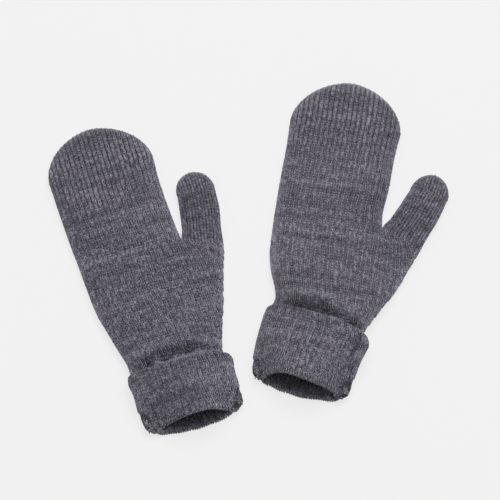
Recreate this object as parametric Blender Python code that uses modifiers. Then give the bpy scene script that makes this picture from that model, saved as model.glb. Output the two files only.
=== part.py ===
"""A pair of knitted mittens with turned-up cuffs, lying flat on a surface.

The left-hand mitten lies back up and the right-hand one palm up, so both thumbs point the same way.
Each mitten is six walls of cloth: the back and the palm of the hand, the two sides of the thumb,
and the two sides of the cuff, which lines the wrist, turns round the mouth and lies outside it.

Sizes in the tables are millimetres in a mitten's own plan: x runs across it, towards the thumb, and
y runs along it, from the mouth to the finger tip. Everything else is in metres, with +Z up.
"""

import math
from collections import namedtuple

import bmesh
import bpy
from mathutils import Vector

MM = 0.001

# Driving sizes of the cloth
WALL = 2.2 * MM                 # thickness of the knitted fabric
SEAM_GAP = 0.3 * MM             # between two pieces where they are joined
JOIN_GAP = 0.7 * MM             # between the lining's last row and the hand's first
LAYER_GAP = 1.4 * MM            # between the two layers of the turned-up cuff
LAYER = WALL + LAYER_GAP        # from the face of one layer to the same face of the next
FOLD_RADIUS = WALL + LAYER_GAP / 2
LIP = 2.3 * MM                  # upright strip of cloth along each side seam
FLOOR_ROUND = 1.3               # width of the rounding beside the flat underside, in seam heights
INNER_START = 7.0 * MM          # from the cuff's rim to the first straight row inside the mouth
OPEN_RUN = 60.0 * MM            # an open end's side edges are taken to run on this far
SIDE_CURVE = 3.0                # how squarely a bowed row turns back at its two ends

# Mesh density
ROW_STEP = 11.0 * MM
SEAM_STRIP = 2.2 * MM           # width of the narrow strip of faces beside a cross seam
HAND_COLUMNS = 12
THUMB_COLUMNS = 6
HAND_SECTORS = 10               # round the rounded end of the hand
THUMB_SECTORS = 6
ARC_POINTS = 30                 # a multiple of both
FOLD_STEPS = 5

WOOL_COLOUR = (0.118, 0.111, 0.137, 1.0)
WOOL_ROUGHNESS = 0.95

# A row across the cloth. Its middle lies `bow` nearer the mouth than the line between its ends.
# The underside is at `bottom`, the side seams at `seam` and the highest point at `top`. The rounding
# of the upper side runs `soft` in from the edge. A forked row ends one hand and one thumb column set.
Ring = namedtuple("Ring", "left_x left_y right_x right_y bow bottom seam top soft")
Row = namedtuple("Row", "left_x left_y right_x right_y bow bottom seam top soft fork_x fork_y")
# A rounded end: its height beyond the last ring and the power of its superellipse.
Tip = namedtuple("Tip", "height power")
# A soft trough across the upper side: its centre, half length, half width, depth and slant.
Fold = namedtuple("Fold", "x y reach half_width depth slant")
Mitten = namedtuple("Mitten", "name upper lower turn_deg place cuff wrist body hand tip thumb thumb_tip folds")

LEFT = Mitten(
    name="left", upper="back", lower="palm", turn_deg=17.0, place=(-38.4, -130.1),
    cuff=[
        #    left_x left_y right_x right_y bow bottom seam  top soft
        Ring(-36.6,  10.5,  35.6,   9.6, 10.0,  0.0, 13.6, 28.0, 35),
        Ring(-37.5,  19.0,  36.9,  18.0,  4.5,  0.0, 13.4, 27.8, 35),
        Ring(-37.5,  29.0,  37.4,  27.4,  0.5,  0.0, 12.8, 27.0, 34),
        Ring(-38.6,  37.5,  38.8,  34.8, -1.8,  0.0, 12.0, 25.6, 33),
        Ring(-37.6,  43.4,  37.4,  39.8, -2.8,  0.0, 11.2, 24.4, 32),
    ],
    wrist=[
        #    left_x left_y right_x right_y bow bottom seam  top soft
        Ring(-34.4,  45.6,  33.6,  42.4, -2.4,  3.4,  9.6, 19.6, 27),
        Ring(-35.2,  55.0,  35.8,  53.0, -1.0,  0.6,  8.2, 17.2, 23),
    ],
    body=[
        #   left_x left_y right_x right_y bow bottom seam top soft fork_x fork_y
        Row(-37.8,  67.0,  40.2,  67.0, 0.0, 0.0, 7.0, 15.0, 19, 19.5,  67.0),
        Row(-41.2,  82.0,  45.2,  81.0, 0.0, 0.0, 6.3, 13.4, 16, 22.5,  81.5),
        Row(-45.0,  99.0,  50.0,  97.0, 0.0, 0.0, 5.9, 12.6, 14, 26.0,  98.5),
        Row(-46.6, 118.0,  54.6, 112.0, 0.0, 0.0, 5.6, 12.2, 13, 28.6, 117.5),
        Row(-47.7, 139.0,  58.8, 125.0, 0.0, 0.0, 5.4, 12.0, 12, 30.2, 139.4),
    ],
    hand=[
        #    left_x left_y right_x right_y bow bottom seam top soft
        Ring(-48.4, 150.0,  29.4, 150.0, 0.0, 0.0, 5.4, 12.2, 12),
        Ring(-49.6, 170.0,  28.5, 170.0, 0.0, 0.0, 5.4, 12.4, 12),
        Ring(-50.5, 192.0,  28.2, 192.0, 0.0, 0.0, 5.4, 12.2, 12),
        Ring(-51.2, 213.0,  29.3, 213.0, 0.0, 0.0, 5.4, 11.8, 12),
    ],
    tip=Tip(height=36.0, power=1.85),
    thumb=[
        #    left_x left_y right_x right_y bow bottom seam top soft
        Ring( 32.6, 147.0,  61.6, 141.0, 0.0, 0.0, 5.4, 12.0, 11),
        Ring( 34.8, 159.0,  65.0, 157.0, 0.0, 0.0, 5.4, 12.0, 11),
        Ring( 37.4, 175.0,  66.6, 176.0, 0.0, 0.0, 5.4, 11.8, 11),
    ],
    thumb_tip=Tip(height=15.5, power=1.95),
    folds=[
        #     x      y   reach half_width depth slant
        Fold(  2.0, 51.0,  30,    4.5,    1.2, -0.05),
        Fold( 20.0, 62.0,  22,    5.0,    1.0, -0.10),
        Fold(-16.0, 74.0,  24,    5.0,    0.9,  0.08),
        Fold( 12.0, 88.0,  28,    6.0,    0.7, -0.06),
        Fold( -8.0, 108.0, 26,    6.0,    0.5,  0.10),
    ],
)

RIGHT = Mitten(
    name="right", upper="palm", lower="back", turn_deg=-8.6, place=(36.9, -105.3),
    cuff=[
        #    left_x left_y right_x right_y bow bottom seam  top soft
        Ring(-37.4,  10.6,  35.8,   5.4,  8.0,  0.0, 14.2, 30.0, 35),
        Ring(-37.5,  20.0,  37.8,  14.6,  4.0,  0.0, 14.0, 29.6, 35),
        Ring(-36.6,  33.0,  40.4,  26.0,  1.0,  0.0, 13.2, 28.4, 34),
        Ring(-35.0,  49.5,  43.2,  38.8, -1.6,  0.0, 12.2, 26.6, 33),
        Ring(-33.2,  57.6,  42.0,  45.4, -3.0,  0.0, 11.4, 25.2, 32),
    ],
    wrist=[
        #    left_x left_y right_x right_y bow bottom seam  top soft
        Ring(-29.6,  59.4,  38.6,  47.6, -2.4,  3.4, 10.0, 20.2, 27),
        Ring(-28.4,  67.0,  43.4,  58.0, -1.0,  0.6,  8.4, 17.6, 23),
    ],
    body=[
        #   left_x left_y right_x right_y bow bottom seam top soft fork_x fork_y
        Row(-30.6,  77.0,  50.4,  72.0, 0.0, 0.0, 7.2, 15.4, 19, 25.0,  73.6),
        Row(-34.6,  88.0,  56.0,  82.0, 0.0, 0.0, 6.4, 13.8, 16, 30.0,  84.0),
        Row(-37.6, 102.0,  60.8,  93.0, 0.0, 0.0, 6.0, 12.8, 14, 35.0,  99.0),
        Row(-38.4, 118.0,  64.8, 104.6, 0.0, 0.0, 5.6, 12.2, 13, 38.6, 116.0),
        Row(-38.7, 134.0,  69.6, 115.6, 0.0, 0.0, 5.4, 12.0, 12, 41.0, 134.6),
    ],
    hand=[
        #    left_x left_y right_x right_y bow bottom seam top soft
        Ring(-38.8, 147.0,  40.2, 147.0, 0.0, 0.0, 5.4, 12.2, 12),
        Ring(-38.6, 168.0,  42.2, 168.0, 0.0, 0.0, 5.4, 12.4, 12),
        Ring(-38.2, 192.0,  43.2, 192.0, 0.0, 0.0, 5.4, 12.2, 12),
        Ring(-38.6, 215.0,  45.4, 215.0, 0.0, 0.0, 5.4, 11.8, 12),
    ],
    tip=Tip(height=38.4, power=1.83),
    thumb=[
        #    left_x left_y right_x right_y bow bottom seam top soft
        Ring( 46.4, 144.0,  75.6, 132.4, 0.0, 0.0, 5.4, 12.0, 11),
        Ring( 52.0, 156.0,  81.6, 147.4, 0.0, 0.0, 5.4, 12.0, 11),
        Ring( 58.2, 170.4,  87.0, 165.4, 0.0, 0.0, 5.4, 11.8, 11),
    ],
    thumb_tip=Tip(height=17.0, power=1.95),
    folds=[
        #     x      y   reach half_width depth slant
        Fold( 10.0, 61.0,  30,    4.5,    1.2, -0.20),
        Fold( 20.0, 74.0,  26,    5.0,    1.0, -0.14),
        Fold( -8.0, 84.0,  22,    5.0,    0.9, -0.04),
        Fold( 24.0, 96.0,  26,    6.0,    0.7, -0.12),
        Fold(  0.0, 112.0, 28,    6.0,    0.5,  0.04),
    ],
)


def in_metres(table):
    """The table's rows with every size in metres."""
    return [type(row)(*(value * MM for value in row)) for row in table]


def left_end(row):
    """Plan point of a row's left end."""
    return Vector((row.left_x, row.left_y))


def right_end(row):
    """Plan point of a row's right end."""
    return Vector((row.right_x, row.right_y))


def fork_of(row):
    """Plan point where a row's hand columns meet its thumb columns."""
    return Vector((row.fork_x, row.fork_y))


def between(left, right, row):
    """A ring between two plan points, with the bow and the heights of the given row."""
    return Ring(*left, *right, *row[4:9])


def forked(ring, fork):
    """The ring as a row with its fork at a plan point."""
    return Row(*ring, *fork)


def inset(row, depth, forward=0.0):
    """The row of a face that lies that deep inside another, and that much further from the mouth."""
    return row._replace(
        left_x=row.left_x + depth, left_y=row.left_y + forward,
        right_x=row.right_x - depth, right_y=row.right_y + forward,
        bottom=row.bottom + depth, top=row.top - depth, soft=row.soft - depth,
    )


def shifted(ring, left_step, right_step):
    """The ring with its two ends moved by plan vectors."""
    return between(left_end(ring) + left_step, right_end(ring) + right_step, ring)


def smooth(table, before=None, after=None, strips=()):
    """Rows about ROW_STEP apart on a smooth curve through the table's rows.

    `before` and `after` are the rows beyond its ends, where the curve runs on into another piece.
    `strips` names the ends, 0 for the first and 1 for the last, that get a narrow strip.
    """
    last = len(table) - 1
    rows = [before or table[0], *table, after or table[last]]
    spans = [2 if before else 1] + [2] * (last - 1) + [2 if after else 1]
    slopes = [
        [(ahead - behind) / span for behind, ahead in zip(rows[i], rows[i + 2])]
        for i, span in enumerate(spans)
    ]
    lengths = [(left_end(b) - left_end(a)).length for a, b in zip(table, table[1:])]
    places = {0.0, float(last)}
    for i, length in enumerate(lengths):
        steps = max(1, round(length / ROW_STEP))
        places |= {i + step / steps for step in range(steps)}
    if 0 in strips:
        places.add(SEAM_STRIP / lengths[0])
    if 1 in strips:
        places.add(last - SEAM_STRIP / lengths[-1])
    smoothed = []
    for place in sorted(places):
        i = min(int(place), last - 1)
        t = place - i
        a, b = 2 * t**3 - 3 * t**2 + 1, t**3 - 2 * t**2 + t
        c, d = 3 * t**2 - 2 * t**3, t**3 - t**2
        parts = zip(table[i], slopes[i], table[i + 1], slopes[i + 1])
        smoothed.append(type(table[0])(*(a * p + b * q + c * r + d * s for p, q, r, s in parts)))
    return smoothed


def shares(count):
    """Numbers from 0 to 1, closest together at both ends, where the cloth turns over."""
    return [(1 - math.cos(math.pi * n / count)) / 2 for n in range(count + 1)]


def bowed(row, point):
    """The point moved to the mouth by the row's bow, which fades at the row's two ends."""
    across = 2 * (point.x - row.left_x) / (row.right_x - row.left_x) - 1
    return point - Vector((0, row.bow * (1 - min(1, abs(across)) ** SIDE_CURVE)))


def ring_points(ring, columns):
    """Plan points across a ring, from left to right."""
    return [bowed(ring, left_end(ring).lerp(right_end(ring), share)) for share in shares(columns)]


def row_points(row):
    """Plan points across a forked row: the hand's columns, then the thumb's."""
    points = [left_end(row).lerp(fork_of(row), share) for share in shares(HAND_COLUMNS)]
    points += [fork_of(row).lerp(right_end(row), share) for share in shares(THUMB_COLUMNS)[1:]]
    return [bowed(row, point) for point in points]


def tip_point(ring, tip, angle):
    """Plan point on the arc of a rounded end, from its left (0) to its right (pi)."""
    left, right = left_end(ring), right_end(ring)
    along = Vector((left.y - right.y, right.x - left.x)).normalized()
    across = math.copysign(abs(math.cos(angle)) ** (2 / tip.power), -math.cos(angle))
    beyond = max(0.0, math.sin(angle)) ** (2 / tip.power)
    return left.lerp(right, (1 + across) / 2) + along * tip.height * beyond


def tip_spokes(ring, tip, columns, sectors):
    """Plan points of a rounded end: spokes from its arc towards the ring's middle, left to right."""
    middle = left_end(ring).lerp(right_end(ring), 0.5)
    reaches = [1 - 2 * share for share in shares(columns)[: columns // 2]]
    spokes = []
    for n in range(1, sectors):
        end = tip_point(ring, tip, math.pi * n / sectors)
        spokes.append([middle.lerp(end, reach) for reach in reaches])
    return spokes


def arc(ring, tip):
    """Plan points along the arc of a rounded end, without its two ends."""
    return [tip_point(ring, tip, math.pi * n / ARC_POINTS) for n in range(1, ARC_POINTS)]


def run_on(points):
    """The point where an edge would end if it ran straight on from its first point."""
    return points[0] + (points[0] - points[1]).normalized() * OPEN_RUN


def edge_distance(point, edges):
    """How far a plan point lies from the nearest of the edges, which are lists of points."""
    best = math.inf
    for edge in edges:
        for start, end in zip(edge, edge[1:]):
            run = end - start
            share = max(0.0, min(1.0, (point - start).dot(run) / max(run.length_squared, 1e-12)))
            best = min(best, (point - start - run * share).length)
    return best


def rounding(distance, width):
    """Height of a quarter round at a distance in from its foot, from 0 to 1."""
    return math.sqrt(1 - (1 - max(0.0, min(1.0, distance / width))) ** 2)


def fold_depth(point, folds):
    """How far the soft troughs lower the upper side at a plan point."""
    depth = 0.0
    for fold in folds:
        across = (point.x - fold.x) / fold.reach
        along = (point.y - fold.y - fold.slant * (point.x - fold.x)) / fold.half_width
        depth += fold.depth * math.exp(-(across**2) - along**2)
    return depth


def raised(row, points, edges, up, depth=0.0, folds=()):
    """The plan points of one row at the height of the cloth's face, on its upper or lower side.

    The face is `depth` inside the edges, and `folds` are the troughs across it.
    """
    foot = SEAM_GAP / 2 + LIP
    lifted = []
    for point in points:
        distance = edge_distance(point, edges) - depth
        if up:
            rise = rounding(distance, row.soft)
            z = row.seam + foot + (row.top - row.seam - foot) * rise - fold_depth(point, folds) * rise**2
        else:
            rise = rounding(distance, FLOOR_ROUND * row.seam)
            z = row.seam - foot - (row.seam - foot - row.bottom) * rise
        lifted.append(Vector((*point, z)))
    return lifted


class Shape:
    """Every row of one mitten in metres, with its edges in plan."""

    def __init__(self, mitten):
        cuff, wrist, body = in_metres(mitten.cuff), in_metres(mitten.wrist), in_metres(mitten.body)
        hand, thumb = in_metres(mitten.hand), in_metres(mitten.thumb)
        share = (body[0].fork_x - body[0].left_x) / (body[0].right_x - body[0].left_x)
        hidden = [inset(cuff[0], LAYER, INNER_START), inset(cuff[2], LAYER), inset(cuff[3], LAYER)]
        trunk = [forked(ring, left_end(ring).lerp(right_end(ring), share)) for ring in hidden + wrist]
        trunk += body
        join = 1
        fork_row, row_before = body[-1], body[-2]
        beyond = forked(between(left_end(hand[0]), right_end(thumb[0]), hand[0]), right_end(hand[0]))
        across = (right_end(fork_row) - fork_of(fork_row)).normalized()
        thumb_gap = Vector((-across.y, across.x)) * SEAM_GAP

        self.tip = Tip(mitten.tip.height * MM, mitten.tip.power)
        self.thumb_tip = Tip(mitten.thumb_tip.height * MM, mitten.thumb_tip.power)
        self.folds = [Fold(*(value * MM for value in fold[:-1]), fold.slant) for fold in mitten.folds]
        self.cuff = smooth(cuff)
        self.lining = smooth(trunk[: join + 1], after=trunk[join + 1], strips=(1,))
        self.trunk = smooth(trunk[join:], before=trunk[join - 1], after=beyond, strips=(0, 1))
        self.hand = smooth(
            [between(left_end(fork_row), fork_of(fork_row), fork_row), *hand],
            before=between(left_end(row_before), fork_of(row_before), row_before),
        )
        self.thumb = smooth(
            [between(fork_of(fork_row), right_end(fork_row), fork_row), *thumb],
            before=between(fork_of(row_before), right_end(row_before), row_before),
            strips=(0,),
        )
        self.edges = [self.hand_edge()]
        self.cuff_edges = [self.cuff_edge(left_end), self.cuff_edge(right_end)]

        start = self.trunk[0]
        self.trunk[0] = start._replace(
            left_y=start.left_y + JOIN_GAP, right_y=start.right_y + JOIN_GAP, fork_y=start.fork_y + JOIN_GAP,
        )
        self.thumb[0] = shifted(self.thumb[0], thumb_gap + across * SEAM_GAP, thumb_gap * 2)

    def hand_edge(self):
        """The hand's edge from the mouth up its left side, round both ends and down its right side."""
        sides = self.lining + self.trunk[1:]
        left, right = [left_end(row) for row in sides], [right_end(row) for row in sides]
        return [
            run_on(left), *left, *(left_end(ring) for ring in self.hand[1:]),
            *arc(self.hand[-1], self.tip), *(right_end(ring) for ring in reversed(self.hand)),
            *(left_end(ring) for ring in self.thumb[1:]), *arc(self.thumb[-1], self.thumb_tip),
            *(right_end(ring) for ring in reversed(self.thumb[1:])), *reversed(right), run_on(right),
        ]

    def cuff_edge(self, end_of):
        """One side edge of the cuff's outer layer, taken to run on past both its ends."""
        points = [end_of(ring) for ring in self.cuff]
        return [run_on(points), *points, run_on(points[::-1])]


class Sheet:
    """An open surface of cloth, built row by row and then given its thickness."""

    def __init__(self, up):
        self.up = up
        self.mesh = bmesh.new()

    def add_face(self, *corners):
        """Adds a face, whose corners are named clockwise as seen from inside an upper side."""
        self.mesh.faces.new(corners if self.up else reversed(corners))

    def add_rows(self, rows, start=None):
        """Adds rows of points and the faces between them, on from an existing row if one is given."""
        corners = [start] if start else []
        corners += [[self.mesh.verts.new(point) for point in points] for points in rows]
        for lower, upper in zip(corners, corners[1:]):
            for n in range(len(lower) - 1):
                self.add_face(lower[n], lower[n + 1], upper[n + 1], upper[n])
        return corners

    def add_rounded_end(self, row, spokes):
        """Closes the sheet beyond its last row, and returns the rounded end's edge, left to right."""
        half = len(row) // 2
        spokes = [[self.mesh.verts.new(point) for point in spoke] for spoke in spokes]
        spokes = [row[:half], *spokes, row[: half : -1]]
        for left, right in zip(spokes, spokes[1:]):
            for n in range(half - 1):
                self.add_face(left[n], left[n + 1], right[n + 1], right[n])
            self.add_face(left[-1], row[half], right[-1])
        return [spoke[0] for spoke in spokes[1:-1]]

    def add_lip(self, edge):
        """Carries a side edge straight down or up to its seam."""
        step = Vector((0, 0, -LIP if self.up else LIP))
        below = [self.mesh.verts.new(corner.co + step) for corner in edge]
        for n in range(len(edge) - 1):
            self.add_face(edge[n], edge[n + 1], below[n + 1], below[n])

    def finish(self, name, parent, material):
        """Makes the object, with the wall's thickness on its inner side."""
        data = bpy.data.meshes.new(name)
        self.mesh.to_mesh(data)
        self.mesh.free()
        data.shade_smooth()
        data.materials.append(material)
        cloth = bpy.data.objects.new(name, data)
        cloth.parent = parent
        COLLECTION.objects.link(cloth)
        wall = cloth.modifiers.new("Wall", "SOLIDIFY")
        wall.thickness = WALL
        wall.offset = -1
        wall.use_quality_normals = True
        return cloth


def fold_loops(rim, behind):
    """Loops round the fold, from its inner leg to its outer one, at right angles to the rim.

    `rim` is the outer layer's first row of points and `behind` the row after it.
    """
    middle = (rim[0] + rim[-1]) / 2
    inward, onward = [], []
    for n, point in enumerate(rim):
        at_side = n in (0, len(rim) - 1)
        tangent = Vector((0, 0, 1)) if at_side else (rim[n + 1] - rim[n - 1]).normalized()
        forward = point - behind[n]
        forward = (forward - tangent * forward.dot(tangent)).normalized()
        normal = tangent.cross(forward)
        onward.append(forward)
        inward.append(normal if normal.dot(middle - point) > 0 else -normal)
    loops = []
    for step in range(FOLD_STEPS, 0, -1):
        angle = math.pi * step / FOLD_STEPS
        loops.append([
            point + FOLD_RADIUS * ((1 - math.cos(angle)) * normal + math.sin(angle) * forward)
            for point, normal, forward in zip(rim, inward, onward)
        ])
    return loops


def build_cuff(mitten, side, up, shape, parent, material):
    """One side of the cuff: the lining inside the wrist, the fold at the mouth and the outer layer."""
    lining = []
    for row in reversed(shape.lining):
        inner = between(left_end(row), right_end(row), inset(row, WALL))
        inner = shifted(inner, Vector((WALL, 0)), Vector((-WALL, 0)))
        lining.append(raised(inner, ring_points(inner, HAND_COLUMNS), shape.edges, up, depth=WALL))
    outer = [
        raised(ring, ring_points(ring, HAND_COLUMNS), shape.cuff_edges, up)
        for ring in shape.cuff
    ]
    sheet = Sheet(up)
    rows = sheet.add_rows(lining + fold_loops(outer[0], outer[1]) + outer)
    sheet.add_lip([row[0] for row in rows])
    sheet.add_lip([row[-1] for row in reversed(rows)])
    return sheet.finish(f"{mitten.name}_cuff_{side}", parent, material)


def build_hand(mitten, side, up, shape, parent, material):
    """One side of the hand, from its join inside the cuff to the finger tip."""
    folds = shape.folds if up else ()
    sheet = Sheet(up)
    trunk = sheet.add_rows(
        [raised(row, row_points(row), shape.edges, up, folds=folds) for row in shape.trunk]
    )
    hand = sheet.add_rows(
        [
            raised(ring, ring_points(ring, HAND_COLUMNS), shape.edges, up, folds=folds)
            for ring in shape.hand[1:]
        ],
        start=trunk[-1][: HAND_COLUMNS + 1],
    )
    end = shape.hand[-1]
    spokes = tip_spokes(end, shape.tip, HAND_COLUMNS, HAND_SECTORS)
    rounded = sheet.add_rounded_end(hand[-1], [raised(end, spoke, shape.edges, up) for spoke in spokes])
    left = [row[0] for row in trunk + hand[1:]]
    right = [row[-1] for row in reversed(hand)]
    sheet.add_lip(left + rounded + right)
    sheet.add_lip([row[-1] for row in reversed(trunk)])
    return sheet.finish(f"{mitten.name}_{side}", parent, material)


def build_thumb(mitten, side, up, shape, parent, material):
    """One side of the thumb, from its join with the hand to its tip."""
    sheet = Sheet(up)
    rows = sheet.add_rows(
        [raised(ring, ring_points(ring, THUMB_COLUMNS), shape.edges, up) for ring in shape.thumb]
    )
    end = shape.thumb[-1]
    spokes = tip_spokes(end, shape.thumb_tip, THUMB_COLUMNS, THUMB_SECTORS)
    rounded = sheet.add_rounded_end(rows[-1], [raised(end, spoke, shape.edges, up) for spoke in spokes])
    left = [row[0] for row in rows]
    right = [row[-1] for row in reversed(rows)]
    sheet.add_lip(left + rounded + right)
    return sheet.finish(f"{mitten.name}_thumb_{side}", parent, material)


def build_mitten(mitten, pair, material):
    """All six pieces of one mitten, on an empty at the middle of its mouth."""
    holder = bpy.data.objects.new(f"{mitten.name}_mitten", None)
    holder.parent = pair
    holder.location = (mitten.place[0] * MM, mitten.place[1] * MM, 0)
    holder.rotation_euler.z = math.radians(mitten.turn_deg)
    COLLECTION.objects.link(holder)
    shape = Shape(mitten)
    pieces = []
    for side, up in ((mitten.upper, True), (mitten.lower, False)):
        for build in (build_hand, build_thumb, build_cuff):
            pieces.append(build(mitten, side, up, shape, holder, material))
    return pieces


def wool():
    """Matt heather-grey wool."""
    material = bpy.data.materials.new("grey_wool")
    material.use_nodes = True
    shader = material.node_tree.nodes["Principled BSDF"]
    shader.inputs["Base Color"].default_value = WOOL_COLOUR
    shader.inputs["Roughness"].default_value = WOOL_ROUGHNESS
    shader.inputs["Metallic"].default_value = 0.0
    return material


def centre_on_origin(pair, pieces):
    """Moves the pair so that its box is centred on the origin, with its underside at Z 0."""
    bpy.context.view_layer.update()
    graph = bpy.context.evaluated_depsgraph_get()
    points = []
    for piece in pieces:
        evaluated = piece.evaluated_get(graph)
        points += [evaluated.matrix_world @ vertex.co for vertex in evaluated.data.vertices]
    low = Vector([min(point[axis] for point in points) for axis in range(3)])
    high = Vector([max(point[axis] for point in points) for axis in range(3)])
    pair.location = (-(low.x + high.x) / 2, -(low.y + high.y) / 2, -low.z)
    bpy.context.view_layer.update()


for leftover in list(bpy.data.objects):
    bpy.data.objects.remove(leftover)
COLLECTION = bpy.data.collections.new("pair_of_mittens")
bpy.context.scene.collection.children.link(COLLECTION)
PAIR = bpy.data.objects.new("pair", None)
COLLECTION.objects.link(PAIR)
WOOL = wool()
PIECES = build_mitten(LEFT, PAIR, WOOL) + build_mitten(RIGHT, PAIR, WOOL)
centre_on_origin(PAIR, PIECES)
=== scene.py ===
"""Looks of a pair of knitted mittens with turned-up cuffs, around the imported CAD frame.

Each of the twelve CAD nodes is replaced by a shell of cloth that carries its knit stitches, one V of
yarn to a stitch. The shells follow the same rows across the cloth as the CAD solids.

Plan sizes are millimetres in a mitten's own plan: x runs across it, towards the thumb, and y runs
along it, from the mouth to the finger tip. Meshes are in metres in the row frame, with +Z up.
"""

import logging
import math
from abc import ABC, abstractmethod
from dataclasses import dataclass, field
from enum import Enum
from typing import ClassVar

import bmesh
import bpy
import numpy as np
from mathutils import Matrix, Vector


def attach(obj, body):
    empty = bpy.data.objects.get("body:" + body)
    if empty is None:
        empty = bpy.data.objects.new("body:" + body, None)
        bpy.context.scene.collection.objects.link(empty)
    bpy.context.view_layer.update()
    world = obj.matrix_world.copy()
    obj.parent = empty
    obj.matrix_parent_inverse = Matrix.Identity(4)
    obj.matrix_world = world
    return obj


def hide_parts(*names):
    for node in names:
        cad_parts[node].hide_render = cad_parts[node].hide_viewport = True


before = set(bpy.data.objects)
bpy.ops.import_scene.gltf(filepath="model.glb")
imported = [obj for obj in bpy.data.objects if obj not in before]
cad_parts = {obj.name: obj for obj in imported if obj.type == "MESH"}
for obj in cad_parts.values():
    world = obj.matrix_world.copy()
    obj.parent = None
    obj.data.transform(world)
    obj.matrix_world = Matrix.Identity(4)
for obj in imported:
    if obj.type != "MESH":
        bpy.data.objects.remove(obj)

LOG = logging.getLogger("mittens")
MM = 0.001
PAIR_SHIFT = (1.083, -3.988)    # from the mittens' measured places to the CAD frame, mm

# Columns of a row across the cloth
COLUMNS = 11
LEFT_X, LEFT_Y, RIGHT_X, RIGHT_Y, BOW, BOTTOM, SEAM, TOP, SOFT, FORK_X, FORK_Y = range(COLUMNS)
LEFT_END, RIGHT_END, FORK = [LEFT_X, LEFT_Y], [RIGHT_X, RIGHT_Y], [FORK_X, FORK_Y]

# Columns of a stitch
PLACE, ACROSS, ALONG, SHARE, TONE = slice(0, 3), slice(3, 6), slice(6, 9), 9, 10

TINY = 1e-9                     # keeps a division by an empty step apart from zero
INSIDE = 1e-6                   # keeps the last stop of a line inside it

# Waves of the cloth: millimetres to a radian across and along it, and where they start
WAVES = ((31.0, 2.1, 0.0), (-24.0, 1.6, 1.7), (17.0, 2.9, 0.6), (-45.0, 1.3, 2.9))


class Side(Enum):
    """Which way a side of a mitten faces as it lies."""

    UPPER = 1
    LOWER = -1


@dataclass(frozen=True)
class Cloth:
    """Sizes of the knitted cloth, in millimetres."""

    wall: float = 2.2
    layer_gap: float = 1.4          # between the two layers of the turned-up cuff
    seam_gap: float = 0.3           # between the two sides of a mitten
    floor_round: float = 1.3        # width of the rounding at the flat underside, in seam heights
    inner_start: float = 7.0        # from the cuff's rim to the first straight row inside the mouth
    open_run: float = 60.0          # an open end's side edges are taken to run on this far
    side_curve: float = 3.0         # how squarely a bowed row turns back at its ends
    yarn_depth: float = 1.0         # from the stitches' crest down to the shell under them
    shell: float = 1.1              # thickness of that shell
    course: float = 2.27            # height of a row of stitches
    hand_wale: float = 3.29         # width of a column of stitches
    waviness: float = 0.6           # how far the cloth rises and falls in soft waves across it
    lip_seam: float = 7.5           # height of the cuff's side edges at the mouth
    lip_reach: float = 27.0         # how far from the mouth its lens shape fades out
    edge_painted_sheen: float = 0.11         # painted sheen: how much lighter the cloth is painted at its edges, where the fuzz catches the light
    edge_sheen_reach: float = 3.0         # how far in from an edge that fades

    @property
    def layer(self) -> float:
        """From the face of one layer of the cuff to the same face of the next."""
        return self.wall + self.layer_gap

    @property
    def fold_radius(self) -> float:
        """Outer radius of the cuff's fold at the mouth."""
        return self.wall + self.layer_gap / 2


CLOTH = Cloth()


@dataclass(frozen=True)
class Crease:
    """A soft trough in the upper side: a line of plan points, its half width and its depth."""

    line: tuple[tuple[float, float], ...]
    half_width: float
    depth: float


@dataclass(frozen=True)
class ShadePatch:
    """A soft patch of painted shade or light on the cloth: its middle in plan, its reach each way and its
    tone.
    """

    middle: tuple[float, float]
    reach: tuple[float, float]
    tone: float


@dataclass(frozen=True)
class Pattern:
    """One mitten's sizes: rows across its cloth, its rounded ends, creases and patches of painted shade."""

    name: str
    upper: str
    lower: str
    turn_deg: float
    place: tuple[float, float]
    cuff: tuple[tuple[float, ...], ...]
    wrist: tuple[tuple[float, ...], ...]
    body: tuple[tuple[float, ...], ...]
    hand: tuple[tuple[float, ...], ...]
    tip: tuple[float, float]
    thumb: tuple[tuple[float, ...], ...]
    thumb_tip: tuple[float, float]
    guide: tuple[tuple[float, float], ...]      # right edge of the hand's own wales, mouth to crotch
    upper_lip: tuple[tuple[float, float, float], ...]   # the upper rim of the mouth: x, y and top
    lower_lip: tuple[tuple[float, float], ...]          # the lower rim of the mouth: x and y
    creases: tuple[Crease, ...] = ()
    cuff_creases: tuple[Crease, ...] = ()
    shade_patches: tuple[ShadePatch, ...] = ()
    cuff_shade_patches: tuple[ShadePatch, ...] = ()


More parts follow.
